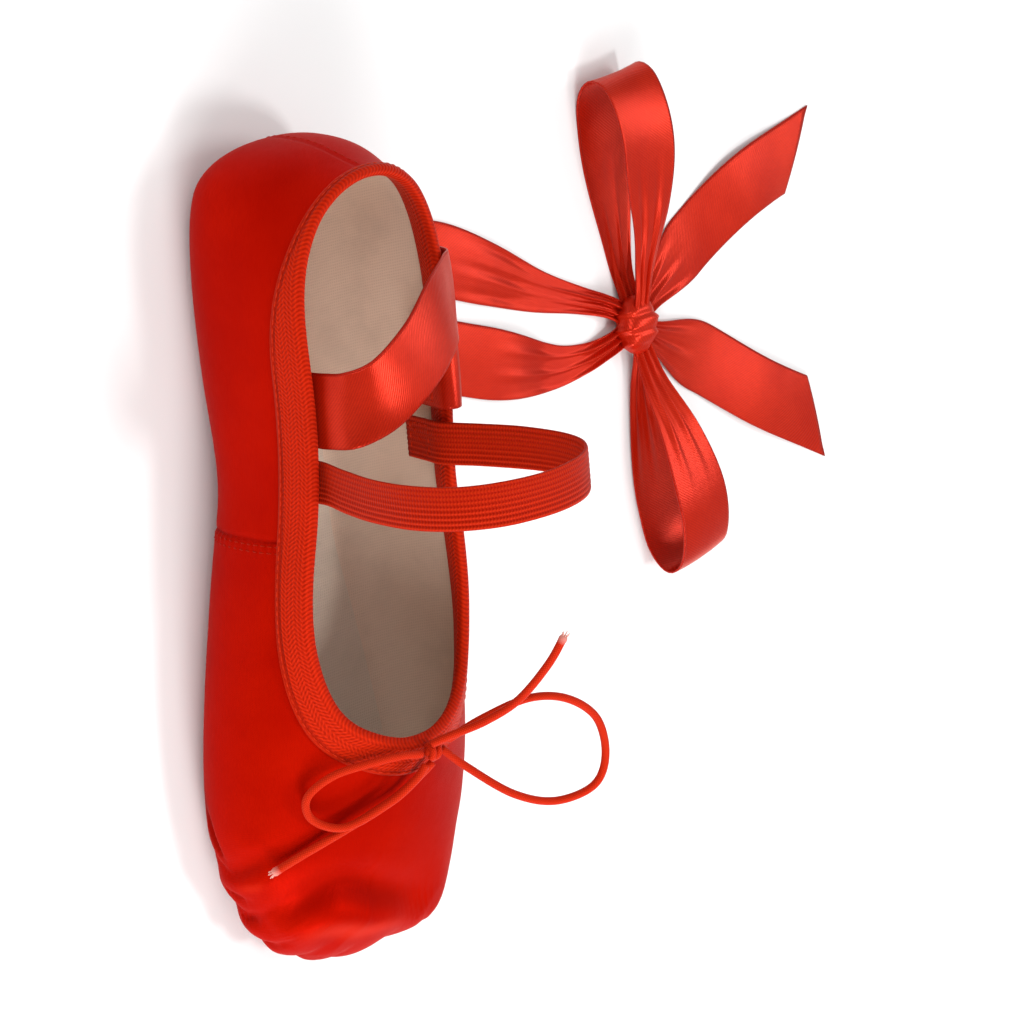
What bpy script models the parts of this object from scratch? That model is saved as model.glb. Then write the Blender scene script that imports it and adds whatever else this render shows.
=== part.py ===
# Ballet slipper of red satin, with a split suede sole, a taped collar, an elastic
# strap over the instep, an elastic drawstring and two satin ankle ribbons.
# Metres, +X to the toe, +Z up. The shoe stands on z = 0 with x = 0 at its middle.

import math
from collections import namedtuple

import bmesh
import bpy
import numpy as np
from mathutils import Vector

MM = 0.001

# Sizes of the last
LENGTH = 236 * MM
BALL_WIDTH = 86 * MM
HEEL_WIDTH = 61 * MM
THROAT_HEIGHT = 53 * MM
SIDE_HEIGHT = 47 * MM
HEEL_HEIGHT = 52 * MM
ARCH_RISE = 3 * MM
TOE_SPRING = 3.5 * MM
GAP = 0.3 * MM
TOE_BEND = 0.22
TOE_LIFT = 0.75

# Upper
WALL = 1.3 * MM
SEAM_LAP = 0.5 * MM
SEAM_X = -14 * MM
SEAM_BLEND = 0.7 * MM
PLEAT_DEPTH = 2.0 * MM
PLEAT_WIDTH = 4.2 * MM
PLEAT_FADE = (0.75, 0.70)
TOE_FULL = 6 * MM
TOE_FULL_X = LENGTH / 2 - 9 * MM
TOE_FULL_Y = BALL_WIDTH / 2 - 20 * MM
TOE_FULL_Z = THROAT_HEIGHT / 2 - 4 * MM
TOE_FULL_REACH = 13 * MM

# Split sole, insole and collar tape
PAD_THICKNESS = 1.8 * MM
FOREPAD_LENGTH = 92 * MM
FOREPAD_WIDTH = 64 * MM
FOREPAD_X = LENGTH / 2 - 66 * MM
HEELPAD_LENGTH = 52 * MM
HEELPAD_WIDTH = 42 * MM
HEELPAD_X = HEELPAD_LENGTH / 2 - LENGTH / 2 + 9 * MM
PAD_EDGE = 0.6 * MM
OPENING_MARGIN = 7 * MM
INSOLE_THICKNESS = 1.2 * MM
INSOLE_MARGIN = 1.0 * MM
INSOLE_RISE = (-0.1, 0.4)
TAPE_THICKNESS = 0.9 * MM
TAPE_GAP = 0.45 * MM
TAPE_OUTSIDE = 10.5 * MM
TAPE_INSIDE = 8 * MM
TAPE_HEEL = 2.5 * MM
TAPE_TAPER = 50 * MM

# Elastic strap
STRAP_WIDTH = 12 * MM
STRAP_THICKNESS = 1.1 * MM
STRAP_X = -30 * MM
STRAP_TOP = 111 * MM
STRAP_HALF_SPAN = 31 * MM
STRAP_TUCK = 15 * MM

# Ribbons and cord
RIBBON_WIDTH = 21 * MM
RIBBON_THICKNESS = 0.7 * MM
CORD_DIAMETER = 2.3 * MM

# Outline of one half, from the back of the heel to the tip of the toe.
# bulge is the widest line of the wall and edge is the collar. The lengths are
# shares: x of LENGTH, y and z of the size that the row names. lean is the
# wall's angle at the collar, in degrees above level.
Row = namedtuple("Row", "bulge_x bulge_y bulge_z edge_x edge_y edge_z lean wide high")
ROWS = (
    Row(-0.500, 0.000, 0.31, -0.472, 0.000, 1.00, 80, HEEL_WIDTH, HEEL_HEIGHT),
    Row(-0.472, 0.380, 0.31, -0.442, 0.280, 0.97, 78, HEEL_WIDTH, HEEL_HEIGHT),
    Row(-0.385, 0.490, 0.32, -0.370, 0.420, 0.94, 75, HEEL_WIDTH, HEEL_HEIGHT),
    Row(-0.250, 0.510, 0.40, -0.245, 0.440, 1.05, 72, HEEL_WIDTH, SIDE_HEIGHT),
    Row(-0.090, 0.520, 0.42, -0.095, 0.440, 1.00, 68, HEEL_WIDTH, SIDE_HEIGHT),
    Row(0.080, 0.450, 0.40, 0.045, 0.350, 0.95, 60, BALL_WIDTH, SIDE_HEIGHT),
    Row(0.205, 0.500, 0.36, 0.135, 0.300, 0.98, 48, BALL_WIDTH, SIDE_HEIGHT),
    Row(0.345, 0.480, 0.26, 0.180, 0.190, 0.95, 34, BALL_WIDTH, THROAT_HEIGHT),
    Row(0.455, 0.335, 0.25, 0.196, 0.090, 0.99, 26, BALL_WIDTH, THROAT_HEIGHT),
    Row(0.500, 0.000, 0.25, 0.200, 0.000, 1.00, 22, BALL_WIDTH, THROAT_HEIGHT),
)
STEPS = (3, 4, 5, 5, 5, 5, 7, 9, 9)
LOW_STEPS = 4
HIGH_STEPS = 5
TUCK = 0.75
LOW_HANDLES = (0.60, 0.50)
HIGH_HANDLES = (0.55, 0.42)
FLAT_STEPS = 3

# Pleats gathered under the toe: place along the bulge line from the toe's tip,
# in ball widths, and depth as a share of PLEAT_DEPTH
Pleat = namedtuple("Pleat", "place depth")
PLEATS = (
    Pleat(0.10, 0.85),
    Pleat(0.24, 1.00),
    Pleat(0.38, 0.80),
    Pleat(0.54, 1.00),
    Pleat(0.71, 0.60),
)


# Materials
def material(name, colour, roughness):
    mat = bpy.data.materials.new(name)
    mat.use_nodes = True
    shader = mat.node_tree.nodes["Principled BSDF"]
    shader.inputs["Base Color"].default_value = (*colour, 1)
    shader.inputs["Roughness"].default_value = roughness
    shader.inputs["Metallic"].default_value = 0
    mat.diffuse_color = (*colour, 1)
    return mat


def make_object(name, mesh, mat):
    obj = bpy.data.objects.new(name, mesh)
    bpy.context.collection.objects.link(obj)
    mesh.materials.append(mat)
    mesh.shade_smooth()
    mesh.set_sharp_from_angle(angle=math.radians(50))
    return obj


def make_mesh(name, points, faces):
    mesh = bpy.data.meshes.new(name)
    mesh.from_pydata([tuple(p) for p in points], [], faces)
    bm = bmesh.new()
    bm.from_mesh(mesh)
    bmesh.ops.recalc_face_normals(bm, faces=bm.faces)
    bm.to_mesh(mesh)
    bm.free()
    return mesh


# The last: a closed spline through both halves of the table
def whole_outline():
    rows = []
    for r in ROWS:
        rows.append((
            r.bulge_x * LENGTH, r.bulge_y * r.wide, r.bulge_z * r.high,
            r.edge_x * LENGTH, r.edge_y * r.wide, r.edge_z * r.high, r.lean,
        ))
    half = np.array(rows)
    mirror = half[-2:0:-1].copy()
    half[:, [1, 4]] *= -1
    return np.vstack([half, mirror])


OUTLINE = whole_outline()
SIDES = np.linalg.norm(np.roll(OUTLINE[:, :2], -1, axis=0) - OUTLINE[:, :2], axis=1)
KNOTS = np.concatenate([[0], np.cumsum(SIDES)[:-1]])
AROUND = SIDES.sum()


def spline_bends():
    count = len(OUTLINE)
    system = np.zeros((count, count))
    right = np.zeros_like(OUTLINE)
    for i in range(count):
        before, after = (i - 1) % count, (i + 1) % count
        system[i, before] += SIDES[before]
        system[i, i] += 2 * (SIDES[before] + SIDES[i])
        system[i, after] += SIDES[i]
        rise = (OUTLINE[after] - OUTLINE[i]) / SIDES[i]
        fall = (OUTLINE[i] - OUTLINE[before]) / SIDES[before]
        right[i] = 6 * (rise - fall)
    return np.linalg.solve(system, right)


BENDS = spline_bends()


def outline_at(s):
    s = np.mod(s, AROUND)
    i = np.clip(np.searchsorted(KNOTS, s, side="right") - 1, 0, len(KNOTS) - 1)
    j = (i + 1) % len(KNOTS)
    h = SIDES[i][:, None]
    t = (s - KNOTS[i])[:, None]
    slope = (OUTLINE[j] - OUTLINE[i]) / h - h * (2 * BENDS[i] + BENDS[j]) / 6
    return OUTLINE[i] + t * slope + t * t * BENDS[i] / 2 + t**3 * (BENDS[j] - BENDS[i]) / (6 * h)


def ease(value):
    value = np.clip(value, 0, 1)
    return value * value * (3 - 2 * value)


def sole_height(x):
    # The sole's top surface: flat on both pads, raised at the arch and the toe
    heel_end = HEELPAD_X + HEELPAD_LENGTH / 2
    fore_start = FOREPAD_X - FOREPAD_LENGTH / 2
    middle = (heel_end + fore_start) / 2
    reach = (fore_start - heel_end) / 2
    arch = ARCH_RISE * (1 - ease(np.abs(x - middle) / reach))
    bend = FOREPAD_X + FOREPAD_LENGTH * TOE_BEND
    toe = TOE_SPRING * ease((x - bend) / (LENGTH / 2 - bend) * TOE_LIFT)
    return PAD_THICKNESS + GAP + arch + toe


def seam_lap(x):
    # The front part laps over the quarter at the side seam and then dies away
    ahead = x - SEAM_X
    return SEAM_LAP * ease(ahead / SEAM_BLEND + 0.5) * np.exp(-np.maximum(ahead, 0) / SIDE_HEIGHT)


def pleat_depth(s, level):
    # level is 0 at the feather edge and 1 at the bulge
    toe = AROUND / 2
    depth = np.zeros_like(s)
    for pleat in PLEATS:
        for side in (-1, 1):
            away = s - toe - side * pleat.place * BALL_WIDTH
            depth += pleat.depth * np.exp(-(away / PLEAT_WIDTH) ** 2)
    start, reach = PLEAT_FADE
    fade = 1 - ease((level - start) / reach)
    return PLEAT_DEPTH * depth * fade


def wall_points(s, levels):
    # levels run from 0 at the feather edge through 1 at the bulge to 2 at the collar
    step = 0.1 * MM
    at = outline_at(s)
    run = outline_at(s + step)[:, :2] - outline_at(s - step)[:, :2]
    run /= np.linalg.norm(run, axis=1)[:, None]
    inward = np.stack([-run[:, 1], run[:, 0]], axis=1)
    base = sole_height(at[:, 0])
    bulge = np.stack([at[:, 0], at[:, 1], at[:, 2] + PAD_THICKNESS], axis=1)
    edge = at[:, 3:6]
    tuck = (TUCK * at[:, 2])[:, None]
    feather = np.column_stack([bulge[:, :2] + inward * tuck, base])
    feather[:, 2] = sole_height(feather[:, 0])
    low_a = feather.copy()
    low_a[:, :2] -= LOW_HANDLES[0] * tuck * inward
    low_b = bulge.copy()
    low_b[:, 2] -= LOW_HANDLES[1] * (bulge[:, 2] - feather[:, 2])
    across = edge[:, :2] - bulge[:, :2]
    reach = np.maximum(np.linalg.norm(across, axis=1), 0.01 * MM)[:, None]
    height = edge[:, 2] - bulge[:, 2]
    high_a = bulge.copy()
    high_a[:, 2] += HIGH_HANDLES[0] * height
    hold = HIGH_HANDLES[1] * np.sqrt(reach[:, 0] ** 2 + height**2)
    lean = np.radians(at[:, 6])
    high_b = edge.copy()
    high_b[:, :2] -= across / reach * (hold * np.cos(lean))[:, None]
    high_b[:, 2] -= hold * np.sin(lean)
    grid = []
    for level in levels:
        a, b, c, d = (feather, low_a, low_b, bulge) if level <= 1 else (bulge, high_a, high_b, edge)
        q = level if level <= 1 else level - 1
        grid.append((1 - q)**3 * a + 3 * q * (1 - q)**2 * b + 3 * q * q * (1 - q) * c + q**3 * d)
    return np.stack(grid, axis=1)


def wall_normals(s, levels):
    step = 0.05 * MM
    along = wall_points(s + step, levels) - wall_points(s - step, levels)
    low = [max(level - 0.01, 0) for level in levels]
    high = [min(level + 0.01, 2) for level in levels]
    up = wall_points(s, high) - wall_points(s, low)
    normal = np.cross(along, up)
    return normal / np.linalg.norm(normal, axis=2)[:, :, None]


def stations():
    # Places around the shoe where the wall is cut into columns, closer at the toe
    half = [0.0]
    for i, steps in enumerate(STEPS):
        for k in range(1, steps + 1):
            half.append(KNOTS[i] + SIDES[i] * k / steps)
    half = np.array(half)
    fine = np.linspace(0, AROUND / 2, 2000)
    side = outline_at(fine)
    seam = fine[np.argmin(np.abs(side[:, 0] - SEAM_X))]
    half[np.argmin(np.abs(half - seam + SEAM_BLEND))] = seam - SEAM_BLEND
    half[np.argmin(np.abs(half - seam - SEAM_BLEND * 3))] = seam + SEAM_BLEND
    half = np.sort(half)
    return np.concatenate([half, AROUND - half[-2:0:-1]])


STATIONS = stations()
LOW = [k / LOW_STEPS for k in range(LOW_STEPS)]
HIGH = [1 + k / HIGH_STEPS for k in range(HIGH_STEPS + 1)]


def toe_fullness(points):
    # The toe box is fuller over the big toe, on the far side
    away = np.linalg.norm(points - (TOE_FULL_X, TOE_FULL_Y, TOE_FULL_Z), axis=1)
    return TOE_FULL * np.exp(-(away / TOE_FULL_REACH) ** 2) * ease(points[:, 1] / TOE_FULL_Y)


def dressed_wall(s, levels):
    # The wall with its full toe, its side seam's step and the toe pleats
    points = wall_points(s, levels)
    normals = wall_normals(s, levels)
    for j, level in enumerate(levels):
        full = toe_fullness(points[:, j]) * ease(level)
        shift = full + seam_lap(points[:, j, 0]) * ease(level / 0.5) - pleat_depth(s, level)
        points[:, j] += normals[:, j] * shift[:, None]
    return points, normals


def bridge_across(count, rows):
    # Faces between the two halves of a closed line of `count` points, where rows
    # holds the point numbers across the shoe for each pair of columns
    faces = []
    half = count // 2
    for i in range(1, half - 1):
        for k in range(len(rows[i]) - 1):
            faces.append((rows[i][k], rows[i][k + 1], rows[i + 1][k + 1], rows[i + 1][k]))
    for end, row in ((0, rows[1]), (half, rows[half - 1])):
        for k in range(len(row) - 1):
            faces.append((end, row[k], row[k + 1]))
    return faces


def across_rows(line, points, height):
    # Adds points between each right column and its mirrored left one
    count = len(line)
    half = count // 2
    rows = {}
    for i in range(1, half):
        row = [i]
        for k in range(1, FLAT_STEPS):
            share = k / FLAT_STEPS
            mid = line[i] * (1 - share) + line[count - i] * share
            edge_lift = line[i][2] - height(line[i][0])
            fade = (2 * share - 1) ** 2
            mid[2] = height(mid[0]) + edge_lift * fade * 0.5
            points.append(mid)
            row.append(len(points) - 1)
        row.append(count - i)
        rows[i] = row
    return rows


# The upper: one wall from the collar down and under the foot
def make_upper(mat):
    levels = LOW + HIGH
    grid, _ = dressed_wall(STATIONS, levels)
    count = len(STATIONS)
    points = list(grid[:, 0])
    for j in range(1, len(levels)):
        points.extend(grid[:, j])
    faces = []
    for j in range(len(levels) - 1):
        for i in range(count):
            k = (i + 1) % count
            faces.append((j * count + i, j * count + k, (j + 1) * count + k, (j + 1) * count + i))
    rows = across_rows(list(grid[:, 0]), points, sole_height)
    faces.extend(bridge_across(count, rows))
    mesh = make_mesh("upper", points, faces)
    foremost = max(mesh.polygons, key=lambda face: face.center.x)
    if foremost.normal.x < 0:
        mesh.flip_normals()
    obj = make_object("upper", mesh, mat)
    solid = obj.modifiers.new("wall", "SOLIDIFY")
    solid.thickness = WALL
    solid.offset = -1
    for name, pad in PADS.items():
        cut = obj.modifiers.new("open_" + name, "BOOLEAN")
        cut.operation = "DIFFERENCE"
        cut.object = pad_cutter(name, pad)
    return obj


# The two suede pads of the split sole
Pad = namedtuple("Pad", "x length width square")
PADS = {
    "outsole_forefoot": Pad(FOREPAD_X, FOREPAD_LENGTH, FOREPAD_WIDTH, 2.5),
    "outsole_heel": Pad(HEELPAD_X, HEELPAD_LENGTH, HEELPAD_WIDTH, 2.3),
}
PAD_POINTS = 48
PAD_RINGS = (0.72, 0.4)
PAD_WAIST = 0.10


def pad_outline(pad, inset):
    line = []
    for k in range(PAD_POINTS):
        angle = 2 * math.pi * k / PAD_POINTS
        cos, sin = math.cos(angle), math.sin(angle)
        x = math.copysign(abs(cos) ** (2 / pad.square), cos) * (pad.length / 2 - inset)
        y = math.copysign(abs(sin) ** (2 / pad.square), sin) * (pad.width / 2 - inset)
        # Narrower towards the waist of the shoe
        waist = 1 - PAD_WAIST * ease(0.5 - math.copysign(1, pad.x) * x / pad.length)
        line.append((pad.x + x, y * waist))
    return line


def make_pad(name, pad, mat):
    points = []
    rings = []
    for inset, drop in ((PAD_EDGE, PAD_THICKNESS), (0, PAD_THICKNESS - PAD_EDGE), (0, 0)):
        ring = []
        for x, y in pad_outline(pad, inset):
            points.append((x, y, sole_height(x) - GAP - drop))
            ring.append(len(points) - 1)
        rings.append(ring)
    for under, drop in ((True, PAD_THICKNESS), (False, 0)):
        for share in PAD_RINGS:
            ring = []
            for x, y in pad_outline(pad, PAD_EDGE):
                x = pad.x + (x - pad.x) * share
                points.append((x, y * share, sole_height(x) - GAP - drop))
                ring.append(len(points) - 1)
            rings.insert(0 if under else len(rings), ring)
    faces = []
    for low, high in zip(rings, rings[1:]):
        for k in range(PAD_POINTS):
            n = (k + 1) % PAD_POINTS
            faces.append((low[k], low[n], high[n], high[k]))
    faces.append(tuple(reversed(rings[0])))
    faces.append(tuple(rings[-1]))
    return make_object(name, make_mesh(name, points, faces), mat)


def pad_cutter(name, pad):
    low = -PAD_THICKNESS
    high = PAD_THICKNESS + WALL + GAP + ARCH_RISE
    line = pad_outline(pad, OPENING_MARGIN)
    points = [(x, y, low) for x, y in line] + [(x, y, high) for x, y in line]
    faces = [tuple(reversed(range(PAD_POINTS))), tuple(range(PAD_POINTS, 2 * PAD_POINTS))]
    for k in range(PAD_POINTS):
        n = (k + 1) % PAD_POINTS
        faces.append((k, n, PAD_POINTS + n, PAD_POINTS + k))
    cutter = bpy.data.objects.new("cut_" + name, make_mesh("cut_" + name, points, faces))
    bpy.context.collection.objects.link(cutter)
    cutter.hide_render = True
    cutter.display_type = "WIRE"
    return cutter


# The insole lies in the upper, on its turned-in bottom
def insole_height(x):
    # It lies on the wall's bottom and, towards the toe, on the pleats
    start, reach = (share * FOREPAD_LENGTH for share in INSOLE_RISE)
    pleats = PLEAT_DEPTH * ease((x - FOREPAD_X - start) / reach)
    return sole_height(x) + WALL + GAP + pleats


def make_insole(mat):
    feather = wall_points(STATIONS, [0])[:, 0]
    normals = wall_normals(STATIONS, [1])[:, 0]
    line = feather.copy()
    line[:, :2] -= normals[:, :2] * INSOLE_MARGIN
    line[:, 2] = insole_height(line[:, 0])
    count = len(line)
    points = list(line)
    rows = across_rows(list(line), points, insole_height)
    low = bridge_across(count, rows)
    size = len(points)
    top = [p + np.array([0, 0, INSOLE_THICKNESS]) for p in points]
    faces = low + [tuple(k + size for k in reversed(face)) for face in low]
    for i in range(count):
        n = (i + 1) % count
        faces.append((i, n, n + size, i + size))
    return make_object("insole", make_mesh("insole", points + top, faces), mat)


# The collar tape is folded over the wall's edge, and narrow outside at the heel
def make_binding(mat):
    length_levels = np.linspace(1, 2, 21)
    fine, _ = dressed_wall(STATIONS, list(length_levels))
    pieces = np.linalg.norm(np.diff(fine, axis=1), axis=2)
    from_edge = np.zeros(fine.shape[:2])
    from_edge[:, :-1] = np.cumsum(pieces[:, ::-1], axis=1)[:, ::-1]

    def below(distance):
        points, normals = [], []
        distances = np.broadcast_to(distance, len(STATIONS))
        for i, s in enumerate(STATIONS):
            level = np.interp(-distances[i], -from_edge[i], length_levels)
            p, n = dressed_wall(np.array([s]), [level])
            points.append(p[0, 0])
            normals.append(n[0, 0])
        return np.array(points), np.array(normals)

    edge, edge_out = below(0)
    from_heel = edge[:, 0] - edge[:, 0].min()
    outside = TAPE_HEEL + (TAPE_OUTSIDE - TAPE_HEEL) * ease(from_heel / TAPE_TAPER)
    half, half_out = below(outside / 2)
    low, low_out = below(outside)
    inner, inner_out = below(TAPE_INSIDE)
    up = edge - below(1 * MM)[0]
    up /= np.linalg.norm(up, axis=1)[:, None]
    near, far = TAPE_GAP, TAPE_GAP + TAPE_THICKNESS
    section = [
        low + low_out * far,
        half + half_out * far,
        edge + edge_out * far,
        edge - edge_out * WALL / 2 + up * far,
        edge - edge_out * (WALL + far),
        inner - inner_out * (WALL + far),
        inner - inner_out * (WALL + near),
        edge - edge_out * (WALL + near) + up * near,
        edge + edge_out * near + up * near,
        half + half_out * near,
        low + low_out * near,
    ]
    points = np.concatenate(section)
    count = len(STATIONS)
    faces = []
    for j in range(len(section)):
        m = (j + 1) % len(section)
        for i in range(count):
            n = (i + 1) % count
            faces.append((j * count + i, j * count + n, m * count + n, m * count + i))
    return make_object("binding", make_mesh("binding", points, faces), mat)


# Bands: a strip carried along a path, untwisted and level where it lies down
def smooth_path(points, reach, turn=180):
    # A smooth curve through the points, cut where it has run `reach` or turned
    # by `turn` degrees
    pts = [Vector(p) for p in points]
    pts = [pts[0] * 2 - pts[1]] + pts + [pts[-1] * 2 - pts[-2]]
    fine = []
    for a, b, c, d in zip(pts, pts[1:], pts[2:], pts[3:]):
        for k in range(20):
            t = k / 20
            bend = (2 * a - 5 * b + 4 * c - d) * t**2 + (3 * b - a - 3 * c + d) * t**3
            fine.append(0.5 * (2 * b + (c - a) * t + bend))
    fine.append(pts[-2].copy())
    runs = [(b - a).length for a, b in zip(fine, fine[1:])]
    if turn == 180:
        count = round(sum(runs) / reach)
        places = np.concatenate([[0], np.cumsum(runs)])
        marks = np.linspace(0, places[-1], count + 1)
        flat = np.array(fine)
        return [Vector([np.interp(m, places, flat[:, k]) for k in range(3)]) for m in marks]
    path = [fine[0]]
    run = turned = 0.0
    for i in range(1, len(fine) - 1):
        run += runs[i - 1]
        turned += (fine[i] - fine[i - 1]).angle(fine[i + 1] - fine[i])
        if run > reach or turned > math.radians(turn):
            path.append(fine[i])
            run = turned = 0.0
    path.append(fine[-1])
    return path


def make_band(name, path, side, width, thickness, mat, ends=(1, 1), slant=0.0):
    # ends are the widths at both ends as shares of width, slant skews the far end
    points = []
    side = Vector(side).normalized()
    count = len(path)
    for i, p in enumerate(path):
        along = (path[min(i + 1, count - 1)] - path[max(i - 1, 0)]).normalized()
        level = Vector((0, 0, 1)).cross(along)
        if level.dot(side) < 0:
            level.negate()
        lying = ease((level.length - 0.35) / 0.6)
        side = side.lerp(level.normalized(), lying) if lying > 0 else side
        side = (side - along * side.dot(along)).normalized()
        out = along.cross(side)
        u = i / (count - 1)
        taper = min(ends[0] + (1 - ends[0]) * min(u / 0.3, 1), ends[1] + (1 - ends[1]) * min((1 - u) / 0.3, 1))
        half = width / 2 * taper
        skew = Vector((along.x, along.y, 0)) * (slant * width / 2 if i == count - 1 else 0)
        for a, b in ((-1, -1), (1, -1), (1, 1), (-1, 1)):
            points.append(p + side * half * a + out * thickness / 2 * b + skew * a)
    faces = [(3, 2, 1, 0), tuple(range(4 * count - 4, 4 * count))]
    for i in range(count - 1):
        for k in range(4):
            n = (k + 1) % 4
            faces.append((4 * i + k, 4 * i + n, 4 * i + 4 + n, 4 * i + 4 + k))
    return make_object(name, make_mesh(name, points, faces), mat)


def collar_at(x):
    # The collar's half width and height above the floor at a length x
    fine = outline_at(np.linspace(0, AROUND / 2, 1500))
    k = np.argmin(np.abs(fine[:, 3] - x))
    return -fine[k, 4], fine[k, 5]


def make_strap(mat):
    half, height = collar_at(STRAP_X)
    seat = half - WALL - GAP - TAPE_THICKNESS - STRAP_THICKNESS / 2
    rise = STRAP_TOP - STRAP_THICKNESS / 2 - height
    flare = STRAP_HALF_SPAN - seat
    side = [
        (seat + 1.5 * MM, height - STRAP_TUCK),
        (seat + 0.3 * MM, height - STRAP_TUCK / 2),
        (seat - 0.6 * MM, height),
        (seat + 0.45 * flare, height + 0.18 * rise),
        (seat + 0.95 * flare, height + 0.42 * rise),
        (seat + 0.90 * flare, height + 0.68 * rise),
        (seat + 0.30 * flare, height + 0.88 * rise),
        (seat * 0.45, height + 0.985 * rise),
    ]
    route = [(STRAP_X, -y, z) for y, z in side]
    route.append((STRAP_X, 0, height + rise))
    route += [(STRAP_X, y, z) for y, z in reversed(side)]
    path = smooth_path(route, 10 * MM, 12)
    return make_band("strap_elastic", path, (1, 0, 0), STRAP_WIDTH, STRAP_THICKNESS, mat)


# Satin ribbons: sewn inside the collar, lying on the floor on the far side and
# tied there in a bow. Places in millimetres.
BOW = (-30, 150)
BOW_SIZE = (18.4, 14.6, 9)
BUNCHED = 0.3
RIBBON_NEAR = (
    (-50, -24.7, 36), (-50, -23.3, 44), (-50, -22.6, 50.5), (-50.6, -20, 58), (-54, -11.5, 63.5), (-62, 2.5, 64),
    (-69.8, 16, 59.5), (-72, 26.0, 52.6), (-72, 32.0, 47.0), (-72, 34.0, 38), (-72, 35.2, 25), (-72, 38.5, 12),
    (-72, 46, 3.5), (-71, 56, 0.7), (-66, 74, 0.7), (-57, 94, 1.2), (-48, 113, 0.7), (-41.5, 130, 1.4),
    (-38, 139, 3.0), (-35.6, 143.5, 4.2),
)
RIBBON_FAR = (
    (-50, 25.2, 36), (-50, 23.6, 44), (-50, 23.0, 48.6), (-50, 24.0, 51.0), (-50, 26.3, 52.0), (-50, 29.2, 50.6),
    (-50, 30.8, 46.5), (-49.8, 32.0, 38), (-49.3, 33.8, 25), (-48.5, 38, 11), (-46.5, 46, 2.8), (-44, 57, 0.7),
    (-36, 78, 0.7), (-28.5, 100, 2.4), (-24, 118, 0.7), (-23.6, 131, 1.4), (-25.2, 138.5, 3.0), (-26.8, 142.8, 4.2),
)
LOOP_HEEL = (
    (-39.2, 149.7, 3.4), (-48, 149.3, 1.4), (-62, 148.5, 0.8), (-85, 147, 0.8), (-100, 146, 2.0),
    (-106.5, 145.4, 7.5), (-103, 145.8, 14), (-88, 147, 17.5), (-65, 148.8, 14.5), (-48, 150, 9), (-39.2, 150.3, 6.8),
)
LOOP_TOE = (
    (-20.8, 151.2, 3.4), (-12, 152.6, 1.4), (0, 154.6, 0.8), (24, 158.6, 0.8), (38, 161, 2.2), (44.5, 162.2, 8),
    (40, 161.6, 15), (25, 159, 18.5), (4, 155.6, 15), (-12, 152.8, 9), (-20.8, 151.4, 6.8),
)
TAIL_TOE = ((-26.0, 157.2, 4.0), (-22, 164, 2.4), (-12, 182, 0.8), (4, 206, 2.2), (18, 232, 0.8))
TAIL_HEEL = ((-34.6, 156.9, 4.0), (-38.5, 164, 2.4), (-49, 182, 0.8), (-60, 204, 2.6), (-66, 231, 0.8))


def in_metres(points):
    return [tuple(v * MM for v in p) for p in points]


def make_ribbons(mat):
    bow_end = (1, BUNCHED)
    for name, points, ends in (
        ("ribbon_near", RIBBON_NEAR, bow_end),
        ("ribbon_far", RIBBON_FAR, bow_end),
        ("ribbon_loop_heel", LOOP_HEEL, (BUNCHED, BUNCHED)),
        ("ribbon_loop_toe", LOOP_TOE, (BUNCHED, BUNCHED)),
    ):
        side = (1, 0, 0) if "loop" not in name else (0, 1, 0)
        path = smooth_path(in_metres(points), 13 * MM, 16)
        make_band(name, path, side, RIBBON_WIDTH, RIBBON_THICKNESS, mat, ends)
    for name, points, slant in (("ribbon_tail_toe", TAIL_TOE, 0.9), ("ribbon_tail_heel", TAIL_HEEL, -0.9)):
        path = smooth_path(in_metres(points), 10 * MM, 16)
        make_band(name, path, (1, 0, 0), RIBBON_WIDTH, RIBBON_THICKNESS, mat, (BUNCHED, 1), slant)
    bm = bmesh.new()
    bmesh.ops.create_icosphere(bm, subdivisions=2, radius=1)
    for v in bm.verts:
        v.co = Vector([c * size / 2 for c, size in zip(v.co, BOW_SIZE)]) * MM
    mesh = bpy.data.meshes.new("ribbon_knot")
    bm.to_mesh(mesh)
    bm.free()
    knot = make_object("ribbon_knot", mesh, mat)
    knot.location = (BOW[0] * MM, BOW[1] * MM, BOW_SIZE[2] * MM / 2 + GAP)


# Elastic drawstring: leaves the tape at the throat and is tied there
CORD_KNOT = (50.5, 0, 56.4)
CORD_KNOT_SIZE = 5.2 * MM
CORD_LOOP_NEAR = (
    (50.4, -3.5, 56.0), (49.2, -10.5, 54.6), (49.6, -19, 50.9), (51.5, -27.5, 45.4), (57, -33, 40.4),
    (63.7, -31.5, 40.2), (67, -24.5, 45.4), (62.0, -13.4, 52.2), (57.0, -7.0, 56.0), (53.4, -3.2, 57.0),
)
CORD_END_NEAR = (
    (54.2, 1.4, 55.0), (57.2, -2.0, 53.3), (61.8, -7.8, 50.1), (65.5, -16.5, 47.0), (69.8, -25.2, 42.0),
    (74, -32.5, 36.4), (78.5, -39.0, 30.4),
)
CORD_LOOP_FAR = (
    (50.7, 3.8, 56.4), (57, 9, 60.5), (66, 18, 68.5), (70, 28, 74.5), (67, 37, 81), (58.5, 40, 83.5), (47, 37, 84),
    (39.7, 29, 81), (38, 20, 75.3), (42.4, 11, 66.5), (47.6, 3.4, 59.6),
)
CORD_END_FAR = ((47.6, -1.6, 58.4), (45.3, 1.4, 63), (42, 8, 70), (36, 13, 78.4), (26, 17, 86.6), (18, 20, 90.8))


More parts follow.
